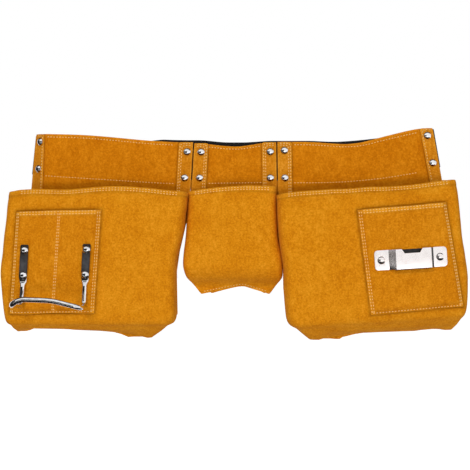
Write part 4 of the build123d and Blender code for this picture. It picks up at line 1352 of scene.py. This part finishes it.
class Strap:
    """A strap's own directions: x along it from the fold, y across its width, z away from the panel."""

    def __init__(self, start, far):
        start, far = np.array(start), np.array(far)
        self.start = start
        self.along = (far - start) / np.linalg.norm(far - start)
        up = np.array([0, 0, 1.0]) - self.along * self.along[2]
        up /= np.linalg.norm(up)
        self.out = np.cross(up, self.along)
        if self.out[1] < 0:
            self.out = -self.out
        self.across = np.cross(self.out, self.along)

    def at(self, x, y, z):
        x, y, z = (np.asarray(v, float)[..., None] for v in (x, y, z))
        return self.start + self.along * x + self.across * y + self.out * z


LEFT_STRAP = Strap((-260.9, 19.4, 9.6), (-88.0, 5.0, -8.4))
RIGHT_STRAP = Strap((259.5, 5.2, 17.6), (115.5, 6.4, -7.6))


def ribbon(node, strap, route, width, body):
    """Webbing whose middle follows a route of (along, out) points."""
    route = np.array(route, float)
    steps = run_along(route)
    share = spaced(steps[-1], 1.2)
    a = np.interp(share * steps[-1], steps, route[:, 0])
    o = np.interp(share * steps[-1], steps, route[:, 1])
    across = (spaced(width, 3.0) - 0.5) * width
    a, y = np.meshgrid(a, across)
    o, _ = np.meshgrid(o, across)
    return skin(node, strap.at(a, y, o), WEB, "black_webbing", body)


def make_strap(node, strap, far, back, body):
    """Strap out from the fold, round the buckle's bar at far, and back over itself through the points
    (along, out) of back."""
    route = [(0, 0), (far, 0), (far, 6.8)] + back
    path = rounded_path([(a, o, 0.0) for a, o in route], [1.4, 1.4, 2.5, 2.5], 0.4)
    ribbon(node, strap, path[:, :2], 2 * HALF_WEB, body)


def make_fold(node, strap, radius, angle):
    """The bent stretch of webbing between a panel and its strap."""
    angles = np.radians(np.linspace(-1.5, angle + 1.5, 40))
    route = np.stack([-radius * np.sin(angles), -radius + radius * np.cos(angles)], axis=1)
    piece = ribbon(node, strap, route, 2 * HALF_WEB - 0.3, None)
    end = strap.at(0, 0, 0) * MM
    turn = math.radians(angle)
    start = strap.at(-radius * math.sin(turn), 0, -radius + radius * math.cos(turn)) * MM
    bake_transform(piece)


def make_straps():
    make_gap("left_gap_web", LEFT_GAP)
    make_gap("right_gap_web", RIGHT_GAP)
    make_strap("left_strap", LEFT_STRAP, 165.2, [(148.5, 6.8), (135, 1.8), (84, 1.8)], "left_tail")
    make_strap("right_strap", RIGHT_STRAP, 152.3, [(144.5, 6.8), (131, 1.8), (96, 1.8)], "right_tail")
    make_fold("left_belt_fold", LEFT_STRAP, 3.2, 142.0)
    make_fold("right_belt_fold", RIGHT_STRAP, 3.0, 180.0)
    for node, body, rounding in (("buckle_male", "left_tail", 0.6), ("buckle_female", "right_tail", 0.7),
                                 ("strap_keeper", "keeper", 0.35), ("buckle_prong_upper", "prong_upper", 0.5),
                                 ("buckle_prong_lower", "prong_lower", 0.5)):
        softened(node, "black_plastic", body, rounding)


# ---- stage ----


def seen_rays(nodes, links):
    """1 for rays from the camera, off gloss or through glass, and 0 for the rays that light things."""
    rays = nodes.new("ShaderNodeLightPath").outputs
    seen = rays["Is Camera Ray"]
    for kind in ("Is Glossy Ray", "Is Transmission Ray"):
        most = nodes.new("ShaderNodeMath")
        most.operation = "MAXIMUM"
        links.new(seen, most.inputs[0])
        links.new(rays[kind], most.inputs[1])
        seen = most.outputs[0]
    return seen


def flat_piece(name, corners, look):
    """One four-cornered sheet of the stage, in metres."""
    mesh = bpy.data.meshes.new(name)
    mesh.from_pydata(corners, [], [(0, 1, 2, 3)])
    mesh.materials.append(look.material)
    piece = link_object(name, mesh)
    return piece


def make_floor():
    look = Look("pale_floor", Roughness=0.9)
    look.shader.inputs["Base Color"].default_value = grey(0.86)
    look.shader.inputs["Emission Color"].default_value = grey(1.0)
    glow = look.math("MULTIPLY", seen_rays(look.nodes, look.links), 0.75)
    look.links.new(glow, look.shader.inputs["Emission Strength"])
    signs = ((-1, -1), (1, -1), (1, 1), (-1, 1))
    corners = [(x * FLOOR_REACH, y * FLOOR_REACH, FLOOR_LEVEL) for x, y in signs]
    flat_piece("floor", corners, look)


def make_world():
    """White room for the camera and for reflections, at a third of that for the light on the object."""
    world = bpy.data.worlds.new("studio")
    bpy.context.scene.world = world
    world.use_nodes = True
    nodes, links = world.node_tree.nodes, world.node_tree.links
    nodes["Background"].inputs["Color"].default_value = grey(1.0)
    strength = nodes.new("ShaderNodeMapRange")
    links.new(seen_rays(nodes, links), strength.inputs["Value"])
    strength.inputs["To Min"].default_value = 0.32
    strength.inputs["To Max"].default_value = 1.0
    links.new(strength.outputs[0], nodes["Background"].inputs["Strength"])


def lamp(name, place, target, size, power):
    """Soft rectangular lamp in metres and watts, which reflections leave out."""
    data = bpy.data.lights.new(name, "AREA")
    data.shape = "RECTANGLE"
    data.size, data.size_y = size
    data.energy = power
    lamp_object = link_object(name, data)
    lamp_object.visible_glossy = False
    lamp_object.location = place
    aim = Vector(target) - Vector(place)
    lamp_object.rotation_euler = aim.to_track_quat("-Z", "Y").to_euler()


def card(name, corners, shade=(0.012, 0.012, 0.012)):
    """Black or grey card that only reflections see, as a studio uses to draw the edges of chrome."""
    look = Look(name, Roughness=0.8)
    look.shader.inputs["Base Color"].default_value = (*shade, 1.0)
    piece = flat_piece(name, corners, look)
    piece.visible_camera = False
    piece.visible_diffuse = False
    piece.visible_shadow = False
    piece.visible_transmission = False


def make_cards():
    card("front_card", [(-1.9, -1.3, -0.61), (-0.1, -1.3, -0.61), (-0.1, -1.3, 0.34), (-1.9, -1.3, 0.34)])
    card("floor_card", [(-1.9, -0.95, -0.6), (1.3, -0.95, -0.6), (1.3, 0.4, -0.6), (-1.9, 0.4, -0.6)])
    card("over_card", [(-1.6, -0.35, 0.8), (1.6, -0.35, 0.8), (1.6, 2.2, 0.8), (-1.6, 2.2, 0.8)])
    card("left_card", [(-1.3, -0.62, -0.6), (-1.3, 0.6, -0.6), (-1.3, 0.6, 0.6), (-1.3, -0.62, 0.6)])
    card("side_card", [(-1.3, -0.9, -0.6), (-1.3, -0.62, -0.6), (-1.3, -0.62, 0.6), (-1.3, -0.9, 0.6)],
         (0.27, 0.25, 0.24))


def make_camera():
    data = bpy.data.cameras.new("camera")
    data.lens = LENS
    data.sensor_width = FILM
    camera = link_object("camera", data)
    camera.location = CAMERA_PLACE
    camera.rotation_euler = (math.radians(90), 0, 0)
    bpy.context.scene.camera = camera


make_camera()
make_floor()
make_world()
lamp("key", (-0.7, -1.9, 1.3), LAMP_TARGET, (0.7, 0.5), 20.5)
lamp("fill", (1.3, -1.8, 0.35), LAMP_TARGET, (0.8, 1.0), 5.5)
lamp("low", (0.0, -1.6, -0.5), (0, 0, -0.2), (1.2, 0.3), 6.5)
lamp("rear", (0.3, 2.2, 1.4), LAMP_TARGET, (1.4, 1.0), 18.0)
make_cards()
make_center()
make_left()
make_right()
make_straps()

bpy.context.scene.view_settings.view_transform = "Standard"
